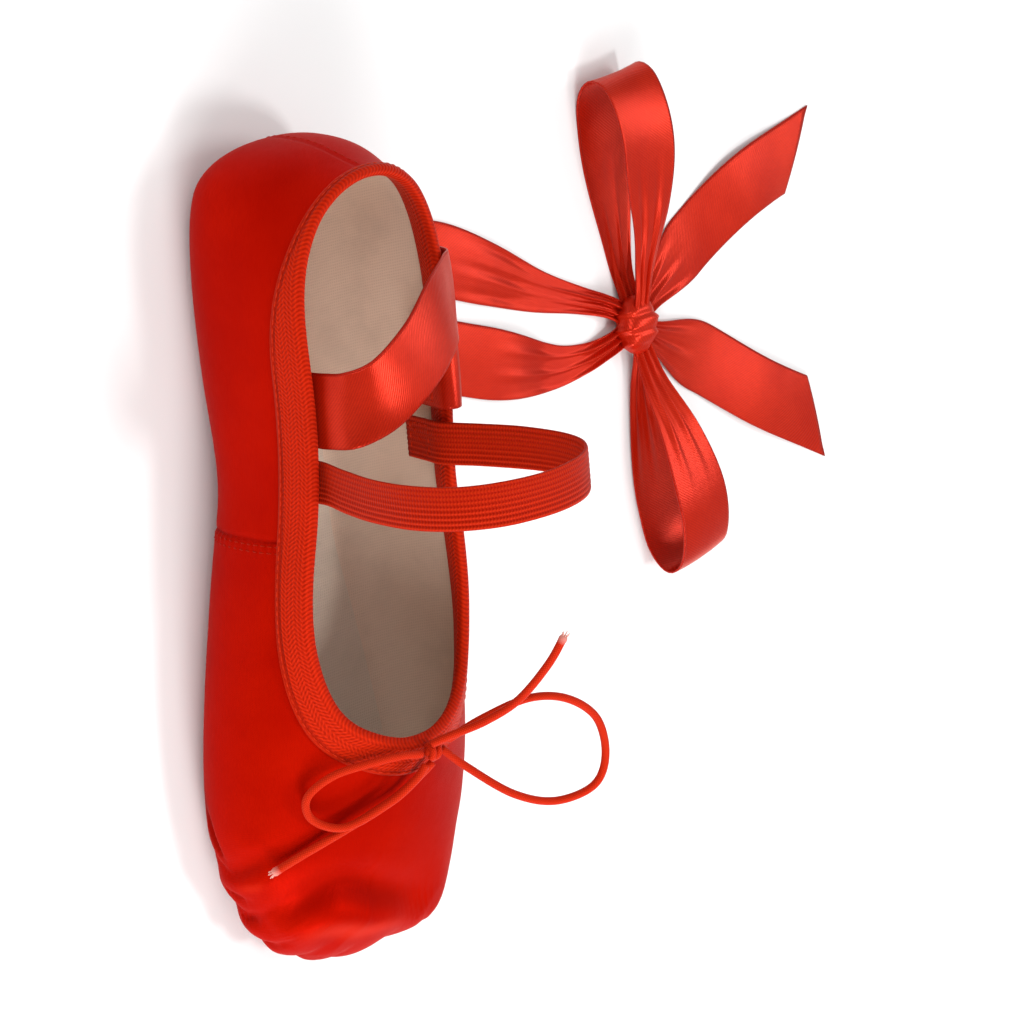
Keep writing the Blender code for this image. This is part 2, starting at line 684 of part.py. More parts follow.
def make_cord(name, points, mat):
    curve = bpy.data.curves.new(name, "CURVE")
    curve.dimensions = "3D"
    curve.bevel_depth = CORD_DIAMETER / 2
    curve.bevel_resolution = 2
    curve.use_fill_caps = True
    path = smooth_path(in_metres(points), 2.6 * CORD_DIAMETER)
    spline = curve.splines.new("POLY")
    spline.points.add(len(path) - 1)
    for point, place in zip(spline.points, path):
        point.co = (*place, 1)
    curve.materials.append(mat)
    obj = bpy.data.objects.new(name, curve)
    bpy.context.collection.objects.link(obj)
    return obj


def make_drawstring(mat):
    bm = bmesh.new()
    bmesh.ops.create_icosphere(bm, subdivisions=2, radius=CORD_KNOT_SIZE / 2)
    mesh = bpy.data.meshes.new("drawstring_knot")
    bm.to_mesh(mesh)
    bm.free()
    knot = make_object("drawstring_knot", mesh, mat)
    knot.location = [v * MM for v in CORD_KNOT]
    make_cord("drawstring_loop_near", CORD_LOOP_NEAR, mat)
    make_cord("drawstring_loop_far", CORD_LOOP_FAR, mat)
    make_cord("drawstring_end_near", CORD_END_NEAR, mat)
    make_cord("drawstring_end_far", CORD_END_FAR, mat)


def main():
    for obj in list(bpy.data.objects):
        bpy.data.objects.remove(obj, do_unlink=True)
    satin = material("satin", (0.50, 0.008, 0.004), 0.42)
    tape = material("tape", (0.58, 0.022, 0.010), 0.62)
    elastic = material("elastic", (0.56, 0.018, 0.010), 0.60)
    suede = material("suede", (0.12, 0.010, 0.008), 0.92)
    lining = material("lining", (0.62, 0.34, 0.26), 0.85)
    make_upper(satin)
    for name, pad in PADS.items():
        make_pad(name, pad, suede)
    make_insole(lining)
    make_binding(tape)
    make_strap(elastic)
    make_ribbons(satin)
    make_drawstring(elastic)


main()
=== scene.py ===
# Red satin ballet slipper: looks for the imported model.
# Metres, +X to the toe, +Y to the side where the ribbons lie, +Z up.
# Tables of points and sizes are in millimetres, as they were measured on the shoe.

import math

import bpy
import numpy as np
from mathutils import Matrix, Vector
from mathutils.bvhtree import BVHTree


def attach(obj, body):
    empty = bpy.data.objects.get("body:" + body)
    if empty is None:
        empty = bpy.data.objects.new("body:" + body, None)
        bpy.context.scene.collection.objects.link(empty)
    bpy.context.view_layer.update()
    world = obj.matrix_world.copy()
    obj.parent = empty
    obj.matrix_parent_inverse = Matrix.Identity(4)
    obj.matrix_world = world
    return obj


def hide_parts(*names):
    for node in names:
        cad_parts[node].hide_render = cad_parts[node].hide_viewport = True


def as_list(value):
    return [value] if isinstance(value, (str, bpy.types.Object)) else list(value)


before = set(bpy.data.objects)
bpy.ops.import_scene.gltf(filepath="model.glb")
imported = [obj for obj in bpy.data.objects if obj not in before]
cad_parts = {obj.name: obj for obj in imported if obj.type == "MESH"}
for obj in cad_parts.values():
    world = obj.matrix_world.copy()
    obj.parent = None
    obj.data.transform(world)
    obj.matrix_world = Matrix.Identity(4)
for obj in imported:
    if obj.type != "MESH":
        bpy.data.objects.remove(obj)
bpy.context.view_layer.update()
mm = 0.001
upwards = Vector((0, 0, 1))


# camera, floor and light
photoView = {
    "azimuth": -22,
    "elevation": 45,
    "roll": 100.5,
    "distance": 1500,
    "pictureWidth": 1024,
    "pixelsPerMm": 3.6,
    "shoeMiddle": (271, 547),      # where x = y = z = 0 falls in the picture
    "sensorWidth": 36,
}


def addCamera():
    turn, tilt, roll = (math.radians(photoView[key]) for key in ("azimuth", "elevation", "roll"))
    outward = Vector((
        math.sin(turn) * math.cos(tilt),
        -math.cos(turn) * math.cos(tilt),
        math.sin(tilt),
    ))
    level = (-outward).cross(upwards).normalized()
    rise = level.cross(-outward)
    right = level * math.cos(roll) + rise * math.sin(roll)
    up = rise * math.cos(roll) - level * math.sin(roll)
    scale = photoView["pixelsPerMm"]
    across, down = photoView["shoeMiddle"]
    centre = photoView["pictureWidth"] / 2
    aim = (right * (centre - across) + up * (down - centre)) / scale * mm
    place = outward * (photoView["distance"] * mm)
    look = (aim - place).normalized()
    right = look.cross(up).normalized()
    up = right.cross(look)
    data = bpy.data.cameras.new("camera")
    data.sensor_width = photoView["sensorWidth"]
    data.lens = photoView["sensorWidth"] * scale * photoView["distance"] / photoView["pictureWidth"]
    data.clip_end = 20
    camera = bpy.data.objects.new("camera", data)
    bpy.context.scene.collection.objects.link(camera)
    camera.matrix_world = Matrix((
        (right.x, up.x, -look.x, place.x),
        (right.y, up.y, -look.y, place.y),
        (right.z, up.z, -look.z, place.z),
        (0, 0, 0, 1),
    ))
    bpy.context.scene.camera = camera


def deselectAll():
    for each in bpy.context.selected_objects:
        each.select_set(False)


def selectOnly(piece):
    deselectAll()
    piece.select_set(True)
    bpy.context.view_layer.objects.active = piece


def addFloor():
    deselectAll()
    bpy.ops.mesh.primitive_plane_add(size=6)
    floor = bpy.context.object
    floor.name = "floor"
    paper = bpy.data.materials.new("floorPaper")
    paper.use_nodes = True
    shader = paper.node_tree.nodes["Principled BSDF"]
    shader.inputs["Base Color"].default_value = (0.86, 0.86, 0.86, 1)
    shader.inputs["Roughness"].default_value = 0.9
    floor.data.materials.append(paper)


# places and sizes in metres
lamps = {
    "key": {"place": (1.15, -0.70, 0.85), "size": 1.2, "watts": 18, "glossy": False},
    "toe": {"place": (1.25, -0.30, 0.55), "size": 0.35, "watts": 7, "glossy": True},
    "fill": {"place": (-1.2, -0.9, 1.1), "size": 0.9, "watts": 10, "glossy": True},
    "top": {"place": (0.32, 0.30, 1.35), "size": 0.25, "watts": 6, "glossy": True},
    "rim": {"place": (-0.2, 1.2, 1.3), "size": 0.6, "watts": 7, "glossy": True},
}
room = {"lampsAimAt": (0, 0.03, 0.02), "strength": 0.48}


def addLight():
    aim = Vector(room["lampsAimAt"])
    for name, lamp in lamps.items():
        data = bpy.data.lights.new(name, "AREA")
        data.energy = lamp["watts"]
        data.size = lamp["size"]
        light = bpy.data.objects.new(name, data)
        bpy.context.scene.collection.objects.link(light)
        light.visible_glossy = lamp["glossy"]
        light.location = lamp["place"]
        light.rotation_euler = (aim - light.location).to_track_quat("-Z", "Y").to_euler()
    world = bpy.data.worlds.new("softRoom")
    bpy.context.scene.world = world
    world.use_nodes = True
    air = world.node_tree.nodes["Background"].inputs
    air["Color"].default_value = (1, 1, 1, 1)
    air["Strength"].default_value = room["strength"]
    bpy.context.scene.view_settings.view_transform = "Standard"      # keeps the red as deep as it is


addCamera()
addFloor()
addLight()
print("camera, floor and light are set")


# materials
class Flow:
    # a shader value that takes + - * / and gives Math nodes
    def __init__(self, tree, socket):
        self.tree = tree
        self.socket = socket

    def maths(self, operation, *values):
        node = self.tree.nodes.new("ShaderNodeMath")
        node.operation = operation
        for slot, value in zip(node.inputs, values):
            if isinstance(value, Flow):
                self.tree.links.new(value.socket, slot)
            else:
                slot.default_value = value
        return Flow(self.tree, node.outputs[0])

    def __add__(self, other):
        return self.maths("ADD", self, other)

    def __radd__(self, other):
        return self.maths("ADD", other, self)

    def __sub__(self, other):
        return self.maths("SUBTRACT", self, other)

    def __rsub__(self, other):
        return self.maths("SUBTRACT", other, self)

    def __mul__(self, other):
        return self.maths("MULTIPLY", self, other)

    def __rmul__(self, other):
        return self.maths("MULTIPLY", other, self)

    def __truediv__(self, other):
        return self.maths("DIVIDE", self, other)

    def wave(self, period):
        return self.maths("SINE", self * (2 * math.pi / period)) * 0.5 + 0.5

    def saw(self, period):
        return self.maths("FRACT", self / period)

    def size(self):
        return self.maths("ABSOLUTE", self)


class Finish:
    # one material and the nodes that it needs
    def __init__(self, name, roughness, **constants):
        self.material = bpy.data.materials.new(name)
        self.material.use_nodes = True
        self.tree = self.material.node_tree
        self.shader = self.tree.nodes["Principled BSDF"]
        self.set("Roughness", roughness)
        for key, value in constants.items():
            self.set(key, value)

    def set(self, socket, value):
        slot = self.shader.inputs[socket]
        if isinstance(value, Flow):
            self.tree.links.new(value.socket, slot)
        else:
            slot.default_value = (*value, 1) if isinstance(value, tuple) else value

    def node(self, kind, settings=None, sockets=None, output=0):
        node = self.tree.nodes.new(kind)
        for key, value in (settings or {}).items():
            setattr(node, key, value)
        for key, value in (sockets or {}).items():
            if isinstance(value, Flow):
                self.tree.links.new(value.socket, node.inputs[key])
            else:
                node.inputs[key].default_value = value
        return Flow(self.tree, node.outputs[output])

    def attribute(self, name):
        return self.node("ShaderNodeAttribute", {"attribute_name": name}, output="Fac")

    def places(self):
        # Object coordinates in millimetres
        where = self.node("ShaderNodeTexCoord", output="Object")
        return self.node("ShaderNodeVectorMath", {"operation": "SCALE"}, {0: where, "Scale": 1000.0})

    def cloth(self):
        # the piece's own map in millimetres: x along the cloth, y across it
        return self.node("ShaderNodeUVMap", {"uv_map": "cloth"})

    def split(self, vector):
        node = self.tree.nodes.new("ShaderNodeSeparateXYZ")
        self.tree.links.new(vector.socket, node.inputs[0])
        return [Flow(self.tree, node.outputs[k]) for k in range(3)]

    def stretched(self, vector, scale):
        return self.node("ShaderNodeVectorMath", {"operation": "MULTIPLY"}, {0: vector, 1: scale})

    def noise(self, vector, period, detail=2.0, roughness=0.5):
        sockets = {"Vector": vector, "Scale": 1 / period, "Detail": detail, "Roughness": roughness}
        return self.node("ShaderNodeTexNoise", None, sockets)

    def blend(self, share, first, second):
        # a Mix node takes its two colours in sockets 6 and 7 and gives the mixed one in output 2
        first, second = (tint if isinstance(tint, Flow) else (*tint, 1) for tint in (first, second))
        return self.node("ShaderNodeMix", {"data_type": "RGBA"}, {0: share, 6: first, 7: second}, 2)

    def step(self, value, low, high):
        sockets = {"Value": value, "From Min": low, "From Max": high}
        return self.node("ShaderNodeMapRange", {"interpolation_type": "SMOOTHSTEP"}, sockets)

    def relief(self, height):
        # height in millimetres
        sockets = {"Height": height, "Strength": 1.0, "Distance": mm}
        self.set("Normal", self.node("ShaderNodeBump", None, sockets))


satinRed = (0.385, 0.0034, 0.0001)
satinDeep = (0.30, 0.0014, 0.0001)
satinLight = (0.46, 0.0058, 0.0003)
# painted shade for the satin's creases, and painted highlight for its ridges
satinPaintedCreaseShade = (0.16, 0.0008, 0.0001)
satinPaintedHighlight = (0.66, 0.028, 0.008)
ribbonRed = (0.50, 0.012, 0.0015)
ribbonLight = (0.62, 0.022, 0.004)


def satinFinish(name, twill, gloss, width=None):
    # gloss is 0 on the shoe's own satin and 1 on the ribbons; twill and width are in mm
    satin = Finish(name, 0.36)
    satin.set("Sheen Weight", 0.02)
    satin.set("Sheen Roughness", 0.35)
    satin.set("Sheen Tint", (1.0, 0.10, 0.04))
    satin.set("Metallic", 0.34 + 0.12 * gloss)      # floats of thread shine in their own colour
    satin.set("IOR", 1.12 + 0.43 * gloss)
    satin.set("Specular Tint", (1.0, 0.16 + 0.34 * gloss, 0.08 + 0.30 * gloss))
    cloth = satin.cloth()
    along, across, _ = satin.split(cloth)
    solid = satin.places()
    threads = satin.noise(satin.stretched(cloth, (0.35, 3.2, 1)), 1.0, 3.0, 0.6)
    clouds = satin.noise(solid, 26.0, 3.0, 0.55)
    ripples = satin.noise(solid, 9.0, 2.0, 0.5)
    line = (along + across * 0.9).wave(twill)
    slubs = satin.noise(satin.stretched(cloth, (0.12, 2.2, 1)), 1.0, 2.0, 0.5)
    base, pale = (satinRed, satinLight) if gloss < 0.5 else (ribbonRed, ribbonLight)
    tone = satin.blend(satin.step(clouds, 0.25, 0.75), base, pale)
    weave = line * (0.20 + 0.16 * gloss) + satin.step(threads, 0.35, 0.7) * 0.22
    tone = satin.blend(weave, tone, satinDeep)
    if not width:
        # painted shade in the creases of the shoe's folds and painted highlight on their ridges, from
        # the attribute that addSatin writes
        shade = satin.attribute("shade")
        tone = satin.blend(satin.step(shade * -1, 0.05, 1.3) * 0.60, tone, satinPaintedCreaseShade)
        tone = satin.blend(satin.step(shade, 0.05, 1.1) * 0.6, tone, satinPaintedHighlight)
    height = line * (0.016 + 0.014 * gloss) + threads * 0.020 + slubs * 0.022
    height = height + ripples * (0.20 - gloss * 0.08)
    if width:
        # the woven edge of a ribbon
        selvedge = satin.step((across.saw(width) - 0.5).size(), 0.462, 0.472)
        tone = satin.blend(selvedge * 0.45, tone, satinDeep)
        height = height + selvedge * (0.06 + along.wave(0.7) * 0.05)
    satin.set("Base Color", tone)
    satin.set("Roughness", 0.40 - gloss * 0.17 + threads * 0.12 + clouds * 0.06)
    satin.relief(height)
    return satin.material


def tapeFinish():
    tape = Finish("tapeHerringbone", 0.55)
    tape.set("Sheen Weight", 0.04)
    tape.set("Specular Tint", (1.0, 0.2, 0.1))
    tape.set("Sheen Roughness", 0.5)
    tape.set("Sheen Tint", (1.0, 0.2, 0.1))
    tape.set("IOR", 1.25)
    cloth = tape.cloth()
    along, across, _ = tape.split(cloth)
    zig = (across.saw(4.2) - 0.5).size() * 4.2
    ribs = (along + zig * 1.1).wave(1.25)
    rows = across.wave(1.05)
    fuzz = tape.noise(cloth, 0.5, 2.0, 0.6)
    clouds = tape.noise(cloth, 12.0, 2.0, 0.5)
    # millimetres from the sewn edge, where the tape is pressed in and has no ribs
    edge = tape.attribute("edge")
    groove = tape.step((edge - 1.7).size(), 0.45, 0.1)
    ribs = ribs * tape.step(edge, 1.4, 1.9)
    weave = ribs * 0.40 + rows * 0.25 + fuzz * 0.3 + 0.05
    tone = tape.blend(weave, (0.22, 0.003, 0.0003), (0.62, 0.022, 0.003))
    # painted shadow: the pressed-in line by the sewn edge is darkened
    tone = tape.blend(groove * 0.55, tone, (0.20, 0.002, 0.0002))
    tone = tape.blend(clouds * 0.3, tone, (0.52, 0.012, 0.002))
    tape.set("Base Color", tone)
    tape.set("Roughness", 0.50 + fuzz * 0.15)
    tape.relief(ribs * 0.13 + rows * 0.10 + fuzz * 0.10 - groove * 0.30)
    return tape.material


def elasticFinish():
    elastic = Finish("elasticRib", 0.58)
    elastic.set("Sheen Weight", 0.03)
    elastic.set("IOR", 1.25)
    elastic.set("Specular Tint", (1.0, 0.25, 0.12))
    elastic.set("Sheen Tint", (1.0, 0.3, 0.2))
    cloth = elastic.cloth()
    along, across, _ = elastic.split(cloth)
    groove = across.wave(1.45)
    knit = (along + groove * 0.3).wave(0.9)
    fuzz = elastic.noise(cloth, 0.4, 2.0, 0.6)
    tone = elastic.blend(groove * 0.6 + knit * 0.3, (0.24, 0.003, 0.0003), (0.56, 0.024, 0.004))
    elastic.set("Base Color", elastic.blend(fuzz * 0.3, tone, (0.36, 0.007, 0.001)))
    elastic.set("Roughness", 0.52 + fuzz * 0.14)
    elastic.relief(groove * 0.10 + knit * 0.09 + fuzz * 0.03)
    return elastic.material


def cordFinish():
    # round braid; the attribute "frayed" is 1 where the cut end is pale
    cord = Finish("elasticBraid", 0.55)
    cord.set("Sheen Weight", 0.03)
    cord.set("IOR", 1.3)
    cord.set("Specular Tint", (1.0, 0.3, 0.15))
    cord.set("Sheen Tint", (1.0, 0.4, 0.3))
    cloth = cord.cloth()
    along, across, _ = cord.split(cloth)
    left = (along + across * 0.9).wave(0.72)
    right = (along - across * 0.9).wave(0.72)
    fuzz = cord.noise(cloth, 0.35, 2.0, 0.6)
    weave = left * right
    pale = cord.attribute("frayed")
    tone = cord.blend(weave * 0.8 + fuzz * 0.2, (0.40, 0.009, 0.0015), (0.68, 0.034, 0.007))
    cord.set("Base Color", cord.blend(pale, tone, (0.80, 0.42, 0.36)))
    cord.set("Roughness", 0.50 + fuzz * 0.15)
    cord.relief(weave * 0.07 + fuzz * 0.03)
    return cord.material


def suedeFinish():
    suede = Finish("suede", 0.92)
    suede.set("Sheen Weight", 0.15)
    suede.set("Sheen Roughness", 0.6)
    suede.set("Sheen Tint", (1.0, 0.45, 0.35))
    solid = suede.places()
    nap = suede.noise(solid, 0.5, 3.0, 0.7)
    patches = suede.noise(solid, 9.0, 3.0, 0.6)
    worn = suede.noise(solid, 24.0, 2.0, 0.5)
    mottled = suede.step(patches, 0.35, 0.65)
    tone = suede.blend(mottled, (0.075, 0.006, 0.005), (0.15, 0.014, 0.010))
    tone = suede.blend(suede.step(worn, 0.50, 0.72) * 0.45, tone, (0.22, 0.045, 0.032))
    suede.set("Base Color", suede.blend(nap * 0.35, tone, (0.05, 0.004, 0.003)))
    suede.set("Roughness", 0.84 + nap * 0.12)
    suede.relief(nap * 0.14 + patches * 0.10)
    return suede.material


def liningFinish(name, tint):
    lining = Finish(name, 0.85)
    lining.set("Sheen Weight", 0.15)
    solid = lining.places()
    x, y, z = lining.split(solid)
    warp = (x + z * 0.25).wave(0.8)
    weft = (y + z * 0.9).wave(0.8)
    soil = lining.noise(solid, 18.0, 3.0, 0.6)
    fuzz = lining.noise(solid, 0.6, 2.0, 0.6)
    shadow, stain = (tuple(v * share for v in tint) for share in (0.72, 0.6))
    tone = lining.blend(warp * weft * 0.5 + fuzz * 0.2, tint, shadow)
    tone = lining.blend(lining.step(soil, 0.45, 0.75) * 0.35, tone, stain)
    lining.set("Base Color", tone)
    lining.set("Roughness", 0.80 + fuzz * 0.12)
    lining.relief(warp * weft * 0.07 + fuzz * 0.06)
    return lining.material


def threadFinish(name, dark, pale):
    thread = Finish(name, 0.55)
    thread.set("IOR", 1.3)
    thread.set("Specular Tint", (1.0, 0.3, 0.15))
    solid = thread.places()
    twist = thread.noise(solid, 0.4, 2.0, 0.6)
    thread.set("Base Color", thread.blend(twist, dark, pale))
    thread.relief(twist * 0.05)
    return thread.material


satinCloth = satinFinish("satin", 0.62, 0.0)
ribbonCloth = satinFinish("ribbonSatin", 0.95, 1.0, 21.5)
tapeCloth = tapeFinish()
elasticCloth = elasticFinish()
cordBraid = cordFinish()
suedeNap = suedeFinish()
liningCloth = liningFinish("lining", (0.70, 0.52, 0.40))
sockCloth = liningFinish("sockLining", (0.62, 0.50, 0.40))
threadRed = threadFinish("threadRed", (0.38, 0.008, 0.001), (0.62, 0.030, 0.006))
threadDeep = threadFinish("threadDeep", (0.26, 0.003, 0.0003), (0.46, 0.012, 0.002))
print("finishes are mixed")


# helpers for cloth pieces
def evenLine(points, step, closed=False):
    # a smooth line through the points, cut at even steps, in metres
    pts = np.array(points, dtype=float) * mm
    if closed:
        pts = np.vstack([pts[-1], pts, pts[0], pts[1]])
    else:
        pts = np.vstack([pts[0] * 2 - pts[1], pts, pts[-1] * 2 - pts[-2]])
    cuts = 24
    t = (np.arange(cuts) / cuts)[:, None]
    fine = []
    for a, b, c, d in zip(pts, pts[1:], pts[2:], pts[3:]):
        bend = (2 * a - 5 * b + 4 * c - d) * t**2 + (3 * b - a - 3 * c + d) * t**3
        fine.append(0.5 * (2 * b + (c - a) * t + bend))
    fine = np.vstack(fine + [pts[-2][None]])
    run = runAlong(fine)
    count = max(2, round(run[-1] / (step * mm)))
    marks = np.linspace(0, run[-1], count + 1)
    return np.stack([np.interp(marks, run, fine[:, k]) for k in range(3)], axis=1)


def runAlong(line):
    return np.concatenate([[0], np.cumsum(np.linalg.norm(np.diff(line, axis=0), axis=1))])


def easy(value):
    value = min(max(value, 0), 1)
    return value * value * (3 - 2 * value)


def keepFigure(mesh, name, values):
    # one number for each vertex, for a finish to read
    mesh.attributes.new(name, "FLOAT", "POINT").data.foreach_set("value", values)


def newPiece(name, points, faces, finish, maps=None):
    mesh = bpy.data.meshes.new(name)
    mesh.from_pydata([tuple(p) for p in points], [], faces)
    piece = bpy.data.objects.new(name, mesh)
    bpy.context.scene.collection.objects.link(piece)
    mesh.materials.append(finish)
    mesh.shade_smooth()
    if maps is not None:
        layer = mesh.uv_layers.new(name="cloth")
        layer.data.foreach_set("uv", np.array(maps, dtype=float).ravel())
    return piece


def ring(radius, count):
    turns = [2 * math.pi * k / count for k in range(count)]
    return [(radius * math.cos(turn), radius * math.sin(turn)) for turn in turns]


# how a levelled band is laid flat, and how far from its end a slanting cut begins
bandTurn = {"flatFrom": 0.35, "flatOver": 0.6, "pull": 0.35, "cutReach": 20}


def sweep(name, line, side, section, finish, levelled=False, slant=0.0):
    # carries a closed section along a line; section(share, run) gives (across, out) pairs in mm
    count = len(line)
    run = runAlong(line) / mm
    side = Vector(side).normalized()
    points, outlines = [], []
    for i in range(count):
        before, after = line[max(i - 1, 0)], line[min(i + 1, count - 1)]
        along = Vector(after - before).normalized()
        if levelled:
            level = upwards.cross(along)
            if level.dot(side) < 0:
                level.negate()
            lying = min(max((level.length - bandTurn["flatFrom"]) / bandTurn["flatOver"], 0), 1)
            if lying > 0:
                side = side.lerp(level.normalized(), lying * bandTurn["pull"])
        side = (side - along * side.dot(along)).normalized()
        out = along.cross(side)
        outline = section(i / (count - 1), run[i])
        middle = Vector(line[i])
        cut = slant * max(0, 1 - (run[-1] - run[i]) / bandTurn["cutReach"])
        for across, height in outline:
            points.append(middle + (side * across + out * height + along * (across * cut)) * mm)
        outlines.append(outline)
    n = len(outlines[0])
    faces, maps = [], []
    girth = [0.0]
    flat = outlines[count // 2]
    for k in range(n):
        a, b = flat[k], flat[(k + 1) % n]
        girth.append(girth[-1] + math.hypot(b[0] - a[0], b[1] - a[1]))
    for i in range(count - 1):
        for k in range(n):
            m = (k + 1) % n
            faces.append((n * i + k, n * i + m, n * i + n + m, n * i + n + k))
            low, high = girth[k], girth[k + 1]
            maps.extend([(run[i], low), (run[i], high), (run[i + 1], high), (run[i + 1], low)])
    faces.append(tuple(range(n - 1, -1, -1)))
    maps.extend([(0, girth[n - 1 - k]) for k in range(n)])
    faces.append(tuple(range(n * count - n, n * count)))
    maps.extend([(run[-1], girth[k]) for k in range(n)])
    return newPiece(name, points, faces, finish, maps)


def hold(piece, slot, *nodes):
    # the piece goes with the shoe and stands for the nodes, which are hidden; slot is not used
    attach(piece, "root")
    if nodes:
        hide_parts(*nodes)
    return piece


# drawstring: round elastic cord tied in a small bow at the throat
drawstring = {
    "diameter": 2.3,
    "sides": 16,
    "loopNear": (
        (50.4, -3.5, 56.0), (49.2, -10.5, 54.6), (49.6, -19, 50.9), (51.5, -27.5, 45.4),
        (57, -33, 40.4), (63.7, -31.5, 40.2), (67, -24.5, 45.4), (62.0, -13.4, 52.2),
        (57.0, -7.0, 56.0), (53.4, -3.2, 57.0),
    ),
    "loopFar": (
        (50.7, 3.8, 56.4), (57, 9, 60.5), (66, 18, 68.5), (70, 28, 74.5), (67, 37, 81),
        (58.5, 40, 83.5), (47, 37, 84), (39.7, 29, 81), (38, 20, 75.3), (42.4, 11, 66.5),
        (47.6, 3.4, 59.6),
    ),
    "endNear": (
        (54.2, 1.4, 55.0), (57.2, -2.0, 53.3), (61.8, -7.8, 50.1), (65.5, -16.5, 47.0),
        (69.8, -25.2, 42.0), (74, -32.5, 36.4), (78.5, -39.0, 30.4),
    ),
    "endFar": (
        (47.6, -1.6, 58.4), (45.3, 1.4, 63), (42, 8, 70), (36, 13, 78.4), (26, 17, 86.6),
        (18, 20, 90.8),
    ),
}
# a bare end opens out a little where the rubber is cut, and its fibres stand out in a ring
fray = {
    "flare": 0.16,
    "flareReach": 1.1,
    "lastSize": 0.80,
    "pale": 2.6,
    "fibres": 7,
    "fibreRadius": 0.16,
    "reach": 0.7,
}


def addFray(name, line):
    tip, away = Vector(line[-1]) / mm, Vector(line[-1] - line[-3]).normalized()
    side = away.orthogonal().normalized()
    fibres = []
    for k in range(fray["fibres"]):
        turn = 2 * math.pi * k / fray["fibres"]
        lean = side * math.cos(turn) + away.cross(side) * math.sin(turn)
        reach = fray["reach"] + 0.5 * ((k * 5) % fray["fibres"]) / fray["fibres"]
        hair = [
            tip + lean * 0.55 - away * 0.5,
            tip + lean * 0.8 + away * reach * 0.5,
            tip + lean * (1.0 + 0.25 * (k % 3)) + away * reach,
        ]
        fibre = sweep(name + "Fibre%d" % k, evenLine(hair, 0.35), (0.2, 0.3, 1),
                      lambda share, run: ring(fray["fibreRadius"], 5), cordBraid)
        keepFigure(fibre.data, "frayed", [1.0] * len(fibre.data.vertices))
        fibres.append(fibre)
    selectOnly(fibres[0])
    for fibre in fibres:
        fibre.select_set(True)
    bpy.ops.object.join()
    fibres[0].name = name + "Fray"
    return hold(fibres[0], "cord")


def addCord(name, node, points, farEnd):
    line = evenLine(points, 0.8)
    radius = drawstring["diameter"] / 2
    total = runAlong(line)[-1] / mm
    bare = farEnd == "bare"

    def roundSection(share, run):
        flare = 1.0
        if bare:
            flare += fray["flare"] * math.exp(-((total - run) / fray["flareReach"]) ** 2)
            if share == 1:
                flare = fray["lastSize"]
        return ring(radius * flare, drawstring["sides"])

    piece = sweep(name, line, (0.3, 0.2, 1), roundSection, cordBraid)
    pale = [0.0] * len(piece.data.vertices)
    if bare:
        tip = Vector(line[-1])
        pale = [max(0.0, 1 - (v.co - tip).length / mm / fray["pale"]) for v in piece.data.vertices]
    keepFigure(piece.data, "frayed", pale)
    hold(piece, "cord", node)
    [addFray(name, line)] if bare else []
    return piece


def addDrawstring():
    addCord("cordLoopNear", "drawstring_loop_near", drawstring["loopNear"], "object")
    addCord("cordLoopFar", "drawstring_loop_far", drawstring["loopFar"], "object")
    addCord("cordEndNear", "drawstring_end_near", drawstring["endNear"], "bare")
    addCord("cordEndFar", "drawstring_end_far", drawstring["endFar"], "bare")


# a core of bunched cord with a turn and a third of the same cord drawn round it
cordKnot = {
    "place": (50.5, 0, 56.4),
    "core": (1.7, 2.6, 1.6),
    "turns": 1.35,
    "turnSize": (1.85, 3.0, 1.75),
    "cord": 0.95,
}


def addCordKnot():
    middle = Vector(cordKnot["place"])
    deselectAll()
    bpy.ops.mesh.primitive_uv_sphere_add(segments=20, ring_count=12, radius=1, location=(0, 0, 0))
    core = bpy.context.object
    bpy.ops.object.mode_set(mode="EDIT")
    bpy.ops.transform.resize(value=Vector(cordKnot["core"]) * mm)
    bpy.ops.transform.translate(value=middle * mm)
    bpy.ops.object.mode_set(mode="OBJECT")
    core.name = "cordKnotCore"
    layer = core.data.uv_layers.active
    layer.name = "cloth"
    for corner in layer.data:
        corner.uv = (corner.uv.x * 12, corner.uv.y * 7)
    core.data.materials.append(cordBraid)
    core.data.shade_smooth()
    wide, long, high = cordKnot["turnSize"]
    steps = 30
    turns = []
    for k in range(steps + 1):
        angle = 2 * math.pi * cordKnot["turns"] * k / steps + 0.6
        turns.append((
            middle.x + wide * math.cos(angle),
            middle.y + long * (k / steps - 0.5),
            middle.z + high * math.sin(angle),
        ))
    wrap = sweep("cordKnotWrap", evenLine(turns, 0.5), (0, 1, 0),
                 lambda share, run: ring(cordKnot["cord"], 12), cordBraid)
    for piece in (core, wrap):
        hold(piece, "cord", "drawstring_knot")


addDrawstring()
addCordKnot()
print("drawstring is laid")


